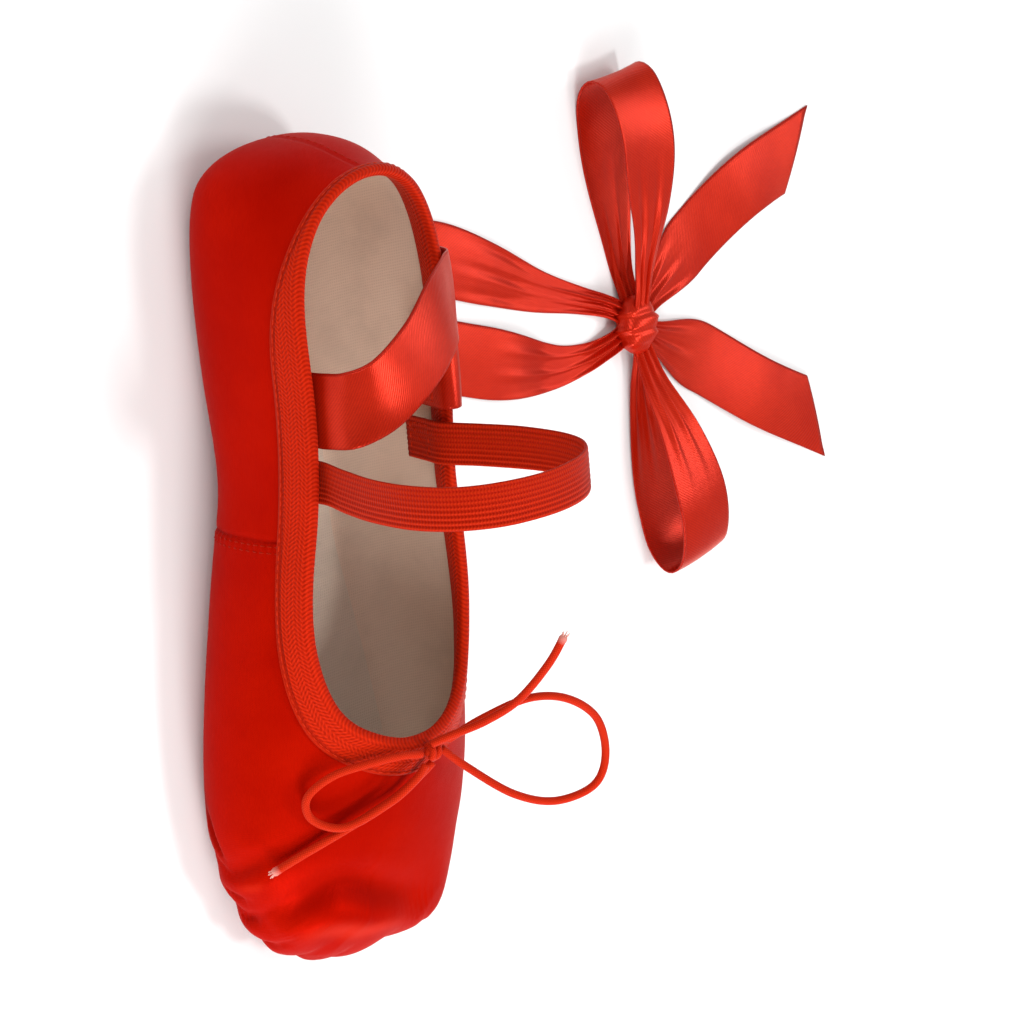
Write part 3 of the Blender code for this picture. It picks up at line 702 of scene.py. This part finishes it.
# ribbons: two satin ties, lying on the floor and tied in a bow
ribbon = {
    "sewnAt": -50,
    "width": 21,
    "thickness": 0.5,
    "bow": (-30, 150, 4.8),
    "near": (
        (-50, -24.7, 36), (-50, -23.3, 44), (-50, -22.6, 50.5), (-50.6, -20, 58), (-54, -11.5, 63.5),
        (-62, 2.5, 64), (-69.8, 16, 59.5), (-72, 26.0, 52.6), (-72, 32.0, 47.0), (-72, 34.0, 38),
        (-72, 35.2, 25), (-72, 38.5, 12), (-72, 46, 3.5), (-71, 56, 0.7), (-66, 74, 0.7),
        (-57, 94, 1.2), (-48, 113, 0.7), (-41.5, 130, 1.4), (-38, 139, 3.0), (-35.6, 143.5, 4.2),
    ),
    "far": (
        (-50, 25.2, 36), (-50, 23.6, 44), (-50, 23.0, 48.6), (-50, 24.0, 51.0), (-50, 26.3, 52.0),
        (-50, 29.2, 50.6), (-50, 30.8, 46.5), (-49.8, 32.0, 38), (-49.3, 33.8, 25), (-48.5, 38, 11),
        (-46.5, 46, 2.8), (-44, 57, 0.7), (-36, 78, 0.7), (-28.5, 100, 2.4), (-24, 118, 0.7),
        (-23.6, 131, 1.4), (-25.2, 138.5, 3.0), (-26.8, 142.8, 4.2),
    ),
    "loopHeel": (
        (-39.2, 149.7, 3.4), (-48, 149.3, 1.4), (-62, 148.5, 0.8), (-85, 147, 0.8), (-100, 146, 2.0),
        (-106.5, 145.4, 7.5), (-103, 145.8, 14), (-88, 147, 17.5), (-65, 148.8, 14.5), (-48, 150, 9),
        (-39.2, 150.3, 6.8),
    ),
    "loopToe": (
        (-20.8, 151.2, 3.4), (-12, 152.6, 1.4), (0, 154.6, 0.8), (24, 158.6, 0.8), (38, 161, 2.2),
        (44.5, 162.2, 8), (40, 161.6, 15), (25, 159, 18.5), (4, 155.6, 15), (-12, 152.8, 9),
        (-20.8, 151.4, 6.8),
    ),
    "tailToe": ((-26.0, 157.2, 4.0), (-22, 164, 2.4), (-12, 182, 0.8), (4, 206, 2.2), (18, 232, 0.8)),
    "tailHeel": (
        (-34.6, 156.9, 4.0), (-38.5, 164, 2.4), (-49, 182, 0.8), (-60, 204, 2.6), (-66, 231, 0.8),
    ),
}
# the small folds that a ribbon is drawn into where it enters the knot, and its sway elsewhere
drawnFolds = {
    "reach": 0.34,                 # share of the length that is drawn in
    "height": 3.4,
    "large": (0.34, 9.0, 0.6),     # share of the height, waves across, start
    "small": (0.16, 17.0, -1.1),
    "sway": 0.5,
}


def addRibbon(name, node, points, side, ends, restsOn, slant=0.0):
    points = [Vector(p) for p in points]
    knot = Vector(ribbon["bow"])
    for end, bunched in zip((0, -1), ends):
        if bunched < 1:
            # the drawn end runs on into the knot
            points.insert(0 if end == 0 else len(points), points[end].lerp(knot, 0.45))
    line = evenLine(points, 1.6)
    half = ribbon["width"] / 2
    thick = ribbon["thickness"]
    across = 28

    def strip(share, run):
        # flat in the middle of its length
        near = easy(share / drawnFolds["reach"])
        far = easy((1 - share) / drawnFolds["reach"])
        wide = min(ends[0] + (1 - ends[0]) * near, ends[1] + (1 - ends[1]) * far)
        drawn = 1 - min(wide, 1)
        large, largeWaves, largeStart = drawnFolds["large"]
        small, smallWaves, smallStart = drawnFolds["small"]
        top, bottom = [], []
        for k in range(across + 1):
            t = 2 * k / across - 1
            fold = 0.5 + large * math.cos(largeWaves * t + largeStart + 0.5 * drawn)
            fold += small * math.cos(smallWaves * t + smallStart + run / 23)
            sway = drawnFolds["sway"] * (0.5 * math.sin(run / 17 + 1.1 * t) + 0.8 * t * t) * wide
            height = drawnFolds["height"] * drawn * fold + sway * (1 - drawn)
            x = half * wide * (t + 0.05 * drawn * math.sin(largeWaves * t))
            top.append((x, height + thick / 2))
            bottom.append((x, height - thick / 2))
        return bottom + top[::-1]

    piece = sweep(name, line, side, strip, ribbonCloth, True, slant)
    # nothing lies deeper than the floor: a low place is lifted with what is above it
    rings = 2 * (across + 1)
    for i in range(len(line)):
        some = piece.data.vertices[i * rings:(i + 1) * rings]
        for k in range(across + 1):
            low, high = some[k], some[rings - 1 - k]
            lift = 0.05 * mm - min(low.co.z, high.co.z)
            if lift > 0:
                low.co.z += lift
                high.co.z += lift
    hold(piece, "ribbon", node)
    ribbon["width"] * mm
    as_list(restsOn)
    return piece


bowKnot = {
    "halfSize": (9.0, 7.1, 4.5),
    "lowest": 0.3,
    "waist": 0.16,
    "largeFolds": (0.075, 11.5),   # share of the reach, waves along
    "smallFolds": (0.035, 23),
    "squarer": 0.10,
}


def addBowKnot():
    deselectAll()
    lying = (0, math.pi / 2, 0)
    bpy.ops.mesh.primitive_uv_sphere_add(segments=64, ring_count=40, radius=1, rotation=lying)
    knot = bpy.context.object
    knot.name = "bowKnot"
    bpy.ops.object.transform_apply(location=False, rotation=True, scale=True)
    middleX, middleY, middleZ = ribbon["bow"]
    long, wide, high = bowKnot["halfSize"]
    large, largeWaves = bowKnot["largeFolds"]
    small, smallWaves = bowKnot["smallFolds"]
    layer = knot.data.uv_layers.active
    layer.name = "cloth"
    for corner in layer.data:
        corner.uv = (corner.uv.x * 40, corner.uv.y * 20)
    for vertex in knot.data.vertices:
        x, y, z = vertex.co
        angle = math.atan2(z, y)
        lean = x + 0.16 * math.sin(angle + 0.4)
        folds = large * math.cos(lean * largeWaves) + small * math.cos(lean * smallWaves + 2 * angle)
        reach = (1 + folds * (1 - x**4)) * (1 - bowKnot["waist"] * x * x)
        squarer = 1 + bowKnot["squarer"] * math.sin(2 * angle) ** 2
        vertex.co = Vector((
            middleX + long * x,
            middleY + wide * y * reach * squarer,
            max(middleZ + high * z * reach * squarer, bowKnot["lowest"]),
        )) * mm
    knot.data.materials.append(ribbonCloth)
    knot.data.shade_smooth()
    hold(knot, "ribbon", "ribbon_knot")


def addRibbons():
    sewn, tied = ["binding", "upper"], ["ribbon_knot"]
    lengthwise, sideways = (1, 0, 0), (0, 1, 0)
    near = addRibbon("ribbonNear", "ribbon_near", ribbon["near"], lengthwise, (1, 0.3), sewn)
    far = addRibbon("ribbonFar", "ribbon_far", ribbon["far"], lengthwise, (1, 0.3), sewn)
    for name, node, points in (
        ("ribbonLoopHeel", "ribbon_loop_heel", ribbon["loopHeel"]),
        ("ribbonLoopToe", "ribbon_loop_toe", ribbon["loopToe"]),
    ):
        addRibbon(name, node, points, sideways, (0.3, 0.3), tied)
    for name, node, points, slant in (
        ("ribbonTailToe", "ribbon_tail_toe", ribbon["tailToe"], 0.9),
        ("ribbonTailHeel", "ribbon_tail_heel", ribbon["tailHeel"], -0.9),
    ):
        addRibbon(name, node, points, lengthwise, (0.3, 1), tied, slant)
    addBowKnot()
    return near, far


ribbonNear, ribbonFar = addRibbons()
print("ribbons are tied")


# elastic strap with eight fine ribs, over the instep
strap = {
    "width": 12,
    "thickness": 1.1,
    "x": -30,
    "ribs": 8,
    "ribDepth": 0.20,
    "pointsPerRib": 6,
    "route": (
        (-24.9, 32.7), (-23.7, 40.2), (-22.8, 47.7), (-26.4, 59.0), (-29.7, 73.0), (-29.8, 87.0),
        (-25.2, 99.0), (-14.8, 107.2), (0.0, 110.3), (14.8, 107.2), (25.2, 99.0), (29.8, 87.0),
        (29.7, 73.0), (26.4, 59.0), (22.8, 47.7), (23.7, 40.2), (24.9, 32.7),
    ),
}


def addStrap():
    line = evenLine([(strap["x"], y, z) for y, z in strap["route"]], 1.6)
    half = strap["width"] / 2
    thick = strap["thickness"] / 2
    across = strap["ribs"] * strap["pointsPerRib"]

    def band(share, run):
        top, bottom = [], []
        for k in range(across + 1):
            t = k / across
            rib = abs(math.sin(math.pi * strap["ribs"] * t)) ** 0.7
            edge = 1 - 0.25 * (abs(2 * t - 1) ** 8)
            x = half * (2 * t - 1) * (1 + 0.006 * math.sin(run / 4.0))
            height = (thick - strap["ribDepth"] + strap["ribDepth"] * rib) * edge
            top.append((x, height))
            bottom.append((x, -height))
        return bottom + top[::-1]

    piece = sweep("strapElastic", line, (1, 0, 0), band, elasticCloth)
    return hold(piece, "elastic", "strap_elastic")


strapPiece = addStrap()
print("strap is sewn in")


# upper: satin outside, cotton inside
def copyOfNode(node, name):
    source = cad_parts[node]
    mesh = source.data.copy()
    mesh.transform(source.matrix_world)
    mesh.materials.clear()
    piece = bpy.data.objects.new(name, mesh)
    bpy.context.scene.collection.objects.link(piece)
    selectOnly(piece)
    if mesh.has_custom_normals:
        bpy.ops.mesh.customdata_custom_splitnormals_clear()
    bpy.ops.object.mode_set(mode="EDIT")
    bpy.ops.mesh.select_all(action="SELECT")
    bpy.ops.mesh.remove_doubles(threshold=0.01 * mm)
    flat, square = math.radians(38), math.radians(60)
    bpy.ops.mesh.tris_convert_to_quads(face_threshold=flat, shape_threshold=square)
    bpy.ops.object.mode_set(mode="OBJECT")
    mesh.shade_smooth()
    return piece


def smoother(piece, levels):
    modifier = piece.modifiers.new("smoother", "SUBSURF")
    modifier.levels = levels
    modifier.render_levels = levels
    selectOnly(piece)
    bpy.ops.object.modifier_apply(modifier="smoother")


def surfaceOf(piece):
    places = [v.co for v in piece.data.vertices]
    faces = [tuple(p.vertices) for p in piece.data.polygons]
    return BVHTree.FromPolygons(places, faces)


# the shoe's middle line, from one x to the other at one height
middleLine = {"heel": -85, "toe": 85, "height": 20}


def keepSide(piece, outer):
    # keeps the faces that look away from the middle line, or those that look at it
    selectOnly(piece)
    bpy.ops.object.mode_set(mode="EDIT")
    bpy.ops.mesh.select_mode(type="FACE")
    bpy.ops.mesh.select_all(action="DESELECT")
    bpy.ops.object.mode_set(mode="OBJECT")
    heel, toe = middleLine["heel"] * mm, middleLine["toe"] * mm
    for face in piece.data.polygons:
        middle = Vector((min(max(face.center.x, heel), toe), 0, middleLine["height"] * mm))
        away = (face.center - middle).dot(face.normal) > 0
        face.select = away != outer
    bpy.ops.object.mode_set(mode="EDIT")
    bpy.ops.mesh.delete(type="FACE")
    bpy.ops.object.mode_set(mode="OBJECT")


# soft folds pressed into the satin: a line of points, the width and the height
# at its middle, both in mm; a trough has a height below nought
satinFolds = (
    # the long crease over the toe and the full edge before it
    {"width": 5.5, "height": -2.6, "line": (
        (97.5, -33.5, 20.5), (93, -32, 27.5), (89, -28.5, 32.5), (87, -24.1, 35.5), (86.5, -19.5, 37.2),
        (88, -13.5, 38), (91.5, -6.1, 37.6), (96, 2.5, 36.2), (101.5, 12.6, 33.5), (104.5, 20, 29),
    )},
    {"width": 6.0, "height": 2.3, "line": (
        (103.5, -29.5, 20), (100.5, -28.5, 25), (97.5, -25, 30), (96.5, -20.5, 33), (97.5, -14.5, 34.2),
        (99.5, -8, 34), (101.5, -0.5, 33.2), (104, 6.3, 31.9), (107, 13.5, 29.5), (109, 19, 26),
    )},
    # a smaller crease on the near side
    {"width": 3.0, "height": -1.1, "line": (
        (80.5, -40.4, 12), (78.8, -40.6, 18.5), (76.5, -40.3, 23.5), (74.5, -39.2, 27),
        (72.5, -37.5, 30),
    )},
    {"width": 3.6, "height": 1.0, "line": (
        (84.5, -39.9, 12.5), (83, -39.9, 18.4), (82, -39.4, 22.6), (80.5, -38.4, 26.5),
        (79, -36.5, 29.7),
    )},
    # short tucks above the pad
    {"width": 1.5, "height": -1.6, "line": (
        (64, -42.6, 7.5), (68, -42.2, 9), (72, -41.7, 10.6), (77, -41.2, 12.6),
    )},
    {"width": 2.0, "height": -1.5, "line": (
        (87.5, -38.5, 9), (88.8, -38.6, 12.5), (89.4, -38.4, 17.5),
    )},
    {"width": 2.2, "height": -1.4, "line": ((97.0, -34.6, 9), (96.8, -34.8, 13), (96.4, -34.7, 18.5))},
    {"width": 2.4, "height": -0.8, "line": ((104.5, -29.5, 8), (105, -28.5, 13), (104.5, -27, 18))},
    {"width": 3.0, "height": -0.6, "line": ((111.5, -18, 9), (111.5, -17, 15), (110, -14, 20))},
    {"width": 3.4, "height": -0.6, "line": ((114.5, 2, 9), (114, 4, 16), (112, 6, 21))},
    {"width": 3.2, "height": -0.7, "line": ((111, 20, 9), (112, 20, 15), (111, 18, 20))},
)
# painted shade where the cloth is creased, below nought, and painted highlight on the folds' ridges,
# above it
satinPaintedShading = (
    {"width": 4.2, "tone": -1.0, "line": (
        (100.1, -32.3, 20.4), (95.5, -31.1, 27.3), (91.7, -27.9, 31.7), (89.6, -24.1, 34.4),
        (89.1, -19.5, 36.0), (90.9, -13.5, 36.9), (94.5, -6.1, 36.5), (98.7, 2.5, 35.1),
        (104.0, 12.6, 32.1),
    )},
    {"width": 4.6, "tone": 0.8, "line": (
        (102.6, -28.9, 22.9), (101.1, -26.1, 27.4), (100.5, -21.4, 30.3), (101.9, -15.4, 31.6),
        (104.3, -8.9, 31.5), (104.4, -2.0, 32.1), (105.0, 6.3, 31.5), (106.2, 12.7, 30.9),
    )},
    {"width": 2.6, "tone": -0.6, "line": (
        (82.8, -39.9, 12.4), (80.9, -40.2, 18.5), (78.6, -39.9, 23.5), (76.5, -38.8, 26.9),
        (75.0, -36.8, 30.0),
    )},
    {"width": 2.6, "tone": 0.6, "line": (
        (84.8, -40.2, 14.6), (84.5, -39.7, 18.4), (84.0, -39.0, 22.3), (82.4, -37.9, 26.4),
    )},
    # painted shade in the tuck above the pad, which also stands in for the pad's dark edge
    {"width": 1.9, "tone": -1.8, "line": (
        (56, -43.1, 5.2), (62, -42.9, 6.2), (68, -42.4, 8.0), (73, -41.9, 10.0), (77.5, -41.3, 12.4),
    )},
    {"width": 1.3, "tone": -0.9, "line": ((87.5, -38.5, 9), (88.8, -38.6, 12.5), (89.2, -38.3, 15.5))},
    {"width": 1.4, "tone": -0.9, "line": ((97.0, -34.6, 9), (96.8, -34.8, 13), (96.4, -34.7, 17.0))},
)
# pleats gathered under the toe: places along the widest line, from the toe's tip, in mm
toePleats = {
    "places": (8.6, 20.6, 32.7, 46.4, 61.0),
    "width": 1.5,
    "height": -0.75,
    "widestLine": (
        (118.0, 0.0), (116.2, -13.1), (110.5, -25.1), (100.8, -34.0), (88.7, -39.4), (75.8, -42.3),
        (62.6, -43.4),
    ),
}
# the seam under the instep: its groove, the painted shade along the groove, and the satin puckered
# beside it
sideSeam = {
    "x": -14.0,
    "groove": 0.80,
    "width": 0.55,
    # tone: how dark the painted shade along the groove is
    "tone": 0.9,
    "pucker": 0.20,
    "puckerPitch": 2.4,
    "puckerOff": 1.4,
    "puckerWidth": 1.6,
    "lowest": 4,
}
heelSeam = {"groove": 0.4, "width": 0.5, "before": -100}
# how the satin's map is unrolled: round the heel, and along the vamp
satinMap = {
    "heelX": -85,
    "heelRadius": 31.0,
    "vampX": 47,
    "vampZ": 53,
    "vampEase": 20,
    "fall": 0.8,
    "girth": 40,
    "axisZ": 5,
}


def foldedBy(skin, places, line, width, height):
    # the line is laid on the satin first
    route = evenLine(line, 1.5)
    route = np.array([tuple(skin.find_nearest(Vector(point))[0]) for point in route]) / mm
    gap = np.full(len(places), 1e9)
    share = np.zeros(len(places))
    for k, point in enumerate(route):
        away = np.linalg.norm(places - point, axis=1)
        closer = away < gap
        gap[closer] = away[closer]
        share[closer] = k / (len(route) - 1)
    fade = np.sin(np.pi * np.clip(share, 0.03, 0.97)) ** 0.6
    return height * fade * np.exp(-((gap / width) ** 2))


def verticesOf(mesh):
    count = len(mesh.vertices)
    places = np.zeros(count * 3)
    normals = np.zeros(count * 3)
    mesh.vertices.foreach_get("co", places)
    mesh.vertex_normals.foreach_get("vector", normals)
    return places.reshape(-1, 3) / mm, normals.reshape(-1, 3)


def setVertices(mesh, places):
    mesh.vertices.foreach_set("co", (places * mm).ravel())
    mesh.update()


def setMap(mesh, along, across):
    # from two numbers for each face corner
    layer = mesh.uv_layers.new(name="cloth")
    layer.data.foreach_set("uv", np.stack([along, across], axis=1).ravel())


def cornersOf(mesh):
    corners = np.zeros(len(mesh.loops), dtype=int)
    mesh.loops.foreach_get("vertex_index", corners)
    return corners


def nearness(distance, width):
    # 1 on a line and nothing away from it
    return np.exp(-((distance / width) ** 2))


def pleatLines():
    # the toe's pleats run up from the sole, the same on both sides
    widest = evenLine([(x, y, 15) for x, y in toePleats["widestLine"]], 1.0) / mm
    for place in toePleats["places"]:
        x, y, _ = widest[min(round(place), len(widest) - 1)]
        for out in (y, -y):
            yield [(x - 7, out * 0.90, 5), (x, out, 13),
                   (x - 1, out * 0.99, 20), (x - 5, out * 0.95, 27)]


def satinLift(skin, places):
    # how far each place is raised or pressed in, in mm
    x, y, z = places.T
    lift = np.zeros(len(places))
    for fold in satinFolds:
        lift += foldedBy(skin, places, fold["line"], fold["width"], fold["height"])
    for line in pleatLines():
        lift += foldedBy(skin, places, line, toePleats["width"], toePleats["height"])
    off = x - sideSeam["x"]
    lift -= sideSeam["groove"] * nearness(off, sideSeam["width"]) * (z > sideSeam["lowest"])
    pucker = sideSeam["pucker"] * nearness(off - sideSeam["puckerOff"], sideSeam["puckerWidth"])
    lift += pucker * np.sin(z * 2 * math.pi / sideSeam["puckerPitch"])
    lift -= heelSeam["groove"] * nearness(y, heelSeam["width"]) * (x < heelSeam["before"])
    return lift * np.clip((z - 2.5) / 4, 0, 1)      # nothing moves where the sole is sewn on


def satinShade(skin, places):
    # painted shade in the creases and painted highlight on the ridges, for the satin finish to read
    x, _, z = places.T
    shade = np.zeros(len(places))
    for spot in satinPaintedShading:
        shade += foldedBy(skin, places, spot["line"], spot["width"], spot["tone"])
    # painted shade along the side seam's groove
    groove = nearness(x - sideSeam["x"], sideSeam["width"]) * (z > sideSeam["lowest"])
    return shade - sideSeam["tone"] * groove


def mapSatin(mesh, places):
    x, y, z = places.T
    beyond = x - satinMap["heelX"]
    radius = satinMap["heelRadius"]
    turn = np.where(beyond < 0, radius * np.arctan2(np.abs(y), -beyond), radius * math.pi / 2 + beyond)
    quarter = x < sideSeam["x"]
    vamp = np.clip((x - satinMap["vampX"]) / satinMap["vampEase"], 0, 1)
    fall = satinMap["fall"] * np.clip(satinMap["vampZ"] - z, 0, 60) * vamp
    along = np.where(quarter, turn * np.sign(y), x + fall)
    across = np.where(quarter, z, satinMap["girth"] * np.arctan2(y, z - satinMap["axisZ"]))
    corners = cornersOf(mesh)
    setMap(mesh, along[corners], across[corners])


def addSatin():
    satin = copyOfNode("upper", "satinUpper")
    keepSide(satin, True)
    smoother(satin, 3)
    mesh = satin.data
    places, normals = verticesOf(mesh)
    skin = surfaceOf(satin)
    keepFigure(mesh, "shade", satinShade(skin, places))
    places += normals * satinLift(skin, places)[:, None]
    setVertices(mesh, places)
    mapSatin(mesh, places)
    mesh.materials.append(satinCloth)
    return hold(satin, "satin", "upper"), skin


def addLining(skin):
    lining = copyOfNode("upper", "cottonLining")
    keepSide(lining, False)
    smoother(lining, 2)
    mesh = lining.data
    places, normals = verticesOf(mesh)
    lift = np.zeros(len(places))
    for fold in satinFolds:
        # the lining gives way under a trough, with a wall's thickness between them
        trough = -foldedBy(skin, places, fold["line"], fold["width"] * 1.2, fold["height"])
        lift -= np.maximum(trough, 0)
    places -= normals * lift[:, None]
    setVertices(mesh, places)
    mesh.materials.append(liningCloth)
    hold(lining, "lining", "upper")


satinUpper, smoothSkin = addSatin()
addLining(smoothSkin)
print("upper is lasted")


# collar tape
collarLine = (
    (-111.4, 0.0, 52.0), (-109.7, -8.9, 51.5), (-104.9, -16.5, 50.5), (-97.6, -21.9, 49.6),
    (-89.2, -25.1, 48.9), (-80.2, -26.8, 48.8), (-71.1, -27.2, 49.1), (-62.0, -27.0, 49.3),
    (-52.9, -26.6, 49.3), (-43.8, -26.4, 48.8), (-34.7, -26.3, 48.2), (-25.7, -26.6, 47.3),
    (-16.7, -27.4, 46.4), (-7.7, -28.7, 45.6), (1.4, -29.7, 45.0), (10.5, -30.1, 44.7),
    (19.5, -29.2, 44.8), (28.3, -27.1, 45.5), (36.4, -23.3, 47.2), (42.1, -16.9, 50.1),
    (45.9, -8.9, 52.3), (47.2, 0.0, 53.0),
)
tapeEdgeLine = (
    (-113.2, 0.0, 49.8), (-111.2, -9.8, 49.3), (-105.9, -18.1, 48.0), (-98.2, -24.1, 45.9),
    (-89.4, -28.0, 43.4), (-79.8, -30.2, 41.2), (-69.9, -31.1, 39.9), (-59.9, -31.1, 39.6),
    (-49.9, -30.9, 39.4), (-39.9, -30.9, 38.9), (-29.9, -31.2, 38.2), (-19.9, -31.9, 37.4),
    (-10.0, -33.5, 36.9), (-0.1, -34.7, 36.5), (9.9, -35.8, 36.7), (19.9, -35.9, 37.5),
    (29.8, -34.7, 38.7), (39.1, -31.8, 40.8), (46.8, -26.4, 44.1), (52.4, -18.8, 47.6),
    (56.2, -9.9, 49.8), (57.5, 0.0, 50.7),
)


def bothSides(half):
    # a closed line from the points of its near half
    return list(half) + [(x, -y, z) for x, y, z in half[-2:0:-1]]


def alongAndAway(places, line):
    # for each place: how far along the closed line its nearest point is, and how far off
    route = evenLine(bothSides(line), 1.0, closed=True) / mm
    run = runAlong(route)
    best = np.full(len(places), 1e9)
    along = np.zeros(len(places))
    for a, b, start in zip(route, route[1:], run):
        span = b - a
        length = np.linalg.norm(span)
        share = np.clip((places - a) @ span / length**2, 0, 1)
        away = np.linalg.norm(places - (a + share[:, None] * span), axis=1)
        closer = away < best
        best[closer] = away[closer]
        along[closer] = start + share[closer] * length
    return along, best, run[-1]


def addTape():
    tape = copyOfNode("binding", "collarTape")
    smoother(tape, 2)
    mesh = tape.data
    places, _ = verticesOf(mesh)
    _, edge, _ = alongAndAway(places, tapeEdgeLine)
    keepFigure(mesh, "edge", edge)
    along, away, total = alongAndAway(places, collarLine)
    corners = cornersOf(mesh)
    u = along[corners]
    for face in mesh.polygons:
        # a face across the map's start has all its corners on one side of it
        some = u[face.loop_start:face.loop_start + face.loop_total]
        if some.max() - some.min() > total / 2:
            some[some < total / 2] += total
    setMap(mesh, u, away[corners])
    mesh.materials.append(tapeCloth)
    return hold(tape, "tape", "binding")


collarTape = addTape()
print("collar tape is folded over")


# suede pads and insole keep their CAD shape
for node, finish in (("outsole_forefoot", suedeNap), ("outsole_heel", suedeNap), ("insole", sockCloth)):
    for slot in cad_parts[node].material_slots:
        slot.material = finish
print("pads and insole are dressed")


# stitches
stitch = {"length": 1.7, "gap": 0.8, "thickness": 0.38}
# rows of stitches: how far off the seams they run and between which heights
seamRows = {"tapeEdge": 1.3, "side": (1.1, 2.9), "sideHeights": (4.0, 38.0), "heel": 1.5,
            "heelHeights": (5.0, 50.0), "step": 0.6}
# the stitched squares where bands end: between which heights, and how far inside the edges
sewnSquares = {"strap": (34.5, 42.5), "ribbon": (37.5, 44.5), "inside": 1.6}


def capsule():
    # one stitch, lying along x, modelled once
    deselectAll()
    lying = (0, math.pi / 2, 0)
    bpy.ops.mesh.primitive_uv_sphere_add(segments=8, ring_count=6, radius=1, rotation=lying)
    one = bpy.context.object
    bpy.ops.object.transform_apply(location=False, rotation=True, scale=True)
    points = np.array([tuple(v.co) for v in one.data.vertices])
    faces = [tuple(p.vertices) for p in one.data.polygons]
    bpy.data.objects.remove(one, do_unlink=True)
    return points, faces


stitchShape = capsule()


def stitchRow(places, outs):
    # stitches along a line of evenly spaced places, each sunk by half in the cloth
    points, faces = [], []
    shape, shapeFaces = stitchShape
    pitch = stitch["length"] + stitch["gap"]
    long, thick = stitch["length"] / 2 * mm, stitch["thickness"] / 2 * mm
    run = runAlong(np.array(places)) / mm
    count = int(run[-1] // pitch)
    for k in range(count):
        mark = (k + 0.5) * run[-1] / count
        i = min(max(int(np.searchsorted(run, mark)), 1), len(places) - 1)
        share = (mark - run[i - 1]) / max(run[i] - run[i - 1], 1e-6)
        middle = Vector(places[i - 1]).lerp(Vector(places[i]), share)
        along = (Vector(places[i]) - Vector(places[i - 1])).normalized()
        out = Vector(outs[i]).normalized()
        side = out.cross(along).normalized()
        base = len(points)
        for x, y, z in shape:
            points.append(middle + along * (x * long) + side * (y * thick) + out * (z * thick))
        faces.extend(tuple(v + base for v in face) for face in shapeFaces)
    return points, faces


def addStitches(name, rows, slot, thread):
    points, faces = [], []
    for places, outs in rows:
        some, theirs = stitchRow(places, outs)
        base = len(points)
        points.extend(some)
        faces.extend(tuple(v + base for v in face) for face in theirs)
    hold(newPiece(name, points, faces, thread), slot)


def onSurface(tree, guesses):
    places, outs = [], []
    for guess in guesses:
        place, normal, _, _ = tree.find_nearest(Vector(guess))
        places.append(place)
        outs.append(normal)
    return places, outs


def shotOn(tree, starts, direction):
    places, outs = [], []
    for start in starts:
        place, normal, _, _ = tree.ray_cast(Vector(start) * mm, Vector(direction))
        if place is not None:
            places.append(place)
            outs.append(normal)
    return places, outs


def heights(low, high):
    return np.arange(low, high, seamRows["step"])


def sewSeams():
    tapeSkin = surfaceOf(collarTape)
    satinSkin = surfaceOf(satinUpper)
    top = evenLine(bothSides(collarLine), 1.0, closed=True)
    low = evenLine(bothSides(tapeEdgeLine), 1.0, closed=True)
    marks, lowMarks = np.linspace(0, 1, len(top)), np.linspace(0, 1, len(low))
    low = np.stack([np.interp(marks, lowMarks, low[:, k]) for k in range(3)], axis=1)
    width = np.linalg.norm(low - top, axis=1)
    share = np.clip(1 - seamRows["tapeEdge"] * mm / width, 0, 1)[:, None]
    addStitches("tapeStitches", [onSurface(tapeSkin, top + (low - top) * share)], "tape", threadRed)
    rows = []
    for side in (-1, 1):
        for off in seamRows["side"]:
            starts = [(sideSeam["x"] + off, side * 80, z) for z in heights(*seamRows["sideHeights"])]
            rows.append(shotOn(satinSkin, starts, (0, -side, 0)))
    starts = [(-160, seamRows["heel"], z) for z in heights(*seamRows["heelHeights"])]
    rows.append(shotOn(satinSkin, starts, (1, 0, 0)))
    addStitches("seamStitches", rows, "satin", threadDeep)


def sewnSquare(piece, x, wide, reach, side):
    # a stitched square with one line across it, where a band ends inside the collar
    half = wide / 2 - sewnSquares["inside"]
    low, high = reach
    left, right = x - half, x + half
    corners = np.array([
        (left, 0, low), (right, 0, low), (right, 0, high), (left, 0, high),
        (left, 0, low), (right, 0, high),
    ])
    starts = [place for a, b in zip(corners, corners[1:]) for place in np.linspace(a, b, 14)]
    return shotOn(surfaceOf(piece), starts, (0, side, 0))


def sewEnds():
    rows = [sewnSquare(strapPiece, strap["x"], strap["width"], sewnSquares["strap"], side)
            for side in (-1, 1)]
    addStitches("strapAnchorStitches", rows, "elastic", threadRed)
    rows = [sewnSquare(piece, ribbon["sewnAt"], ribbon["width"], sewnSquares["ribbon"], side)
            for piece, side in ((ribbonNear, -1), (ribbonFar, 1))]
    addStitches("ribbonAnchorStitches", rows, "ribbon", threadRed)


sewSeams()
sewEnds()
print("stitches are sewn")
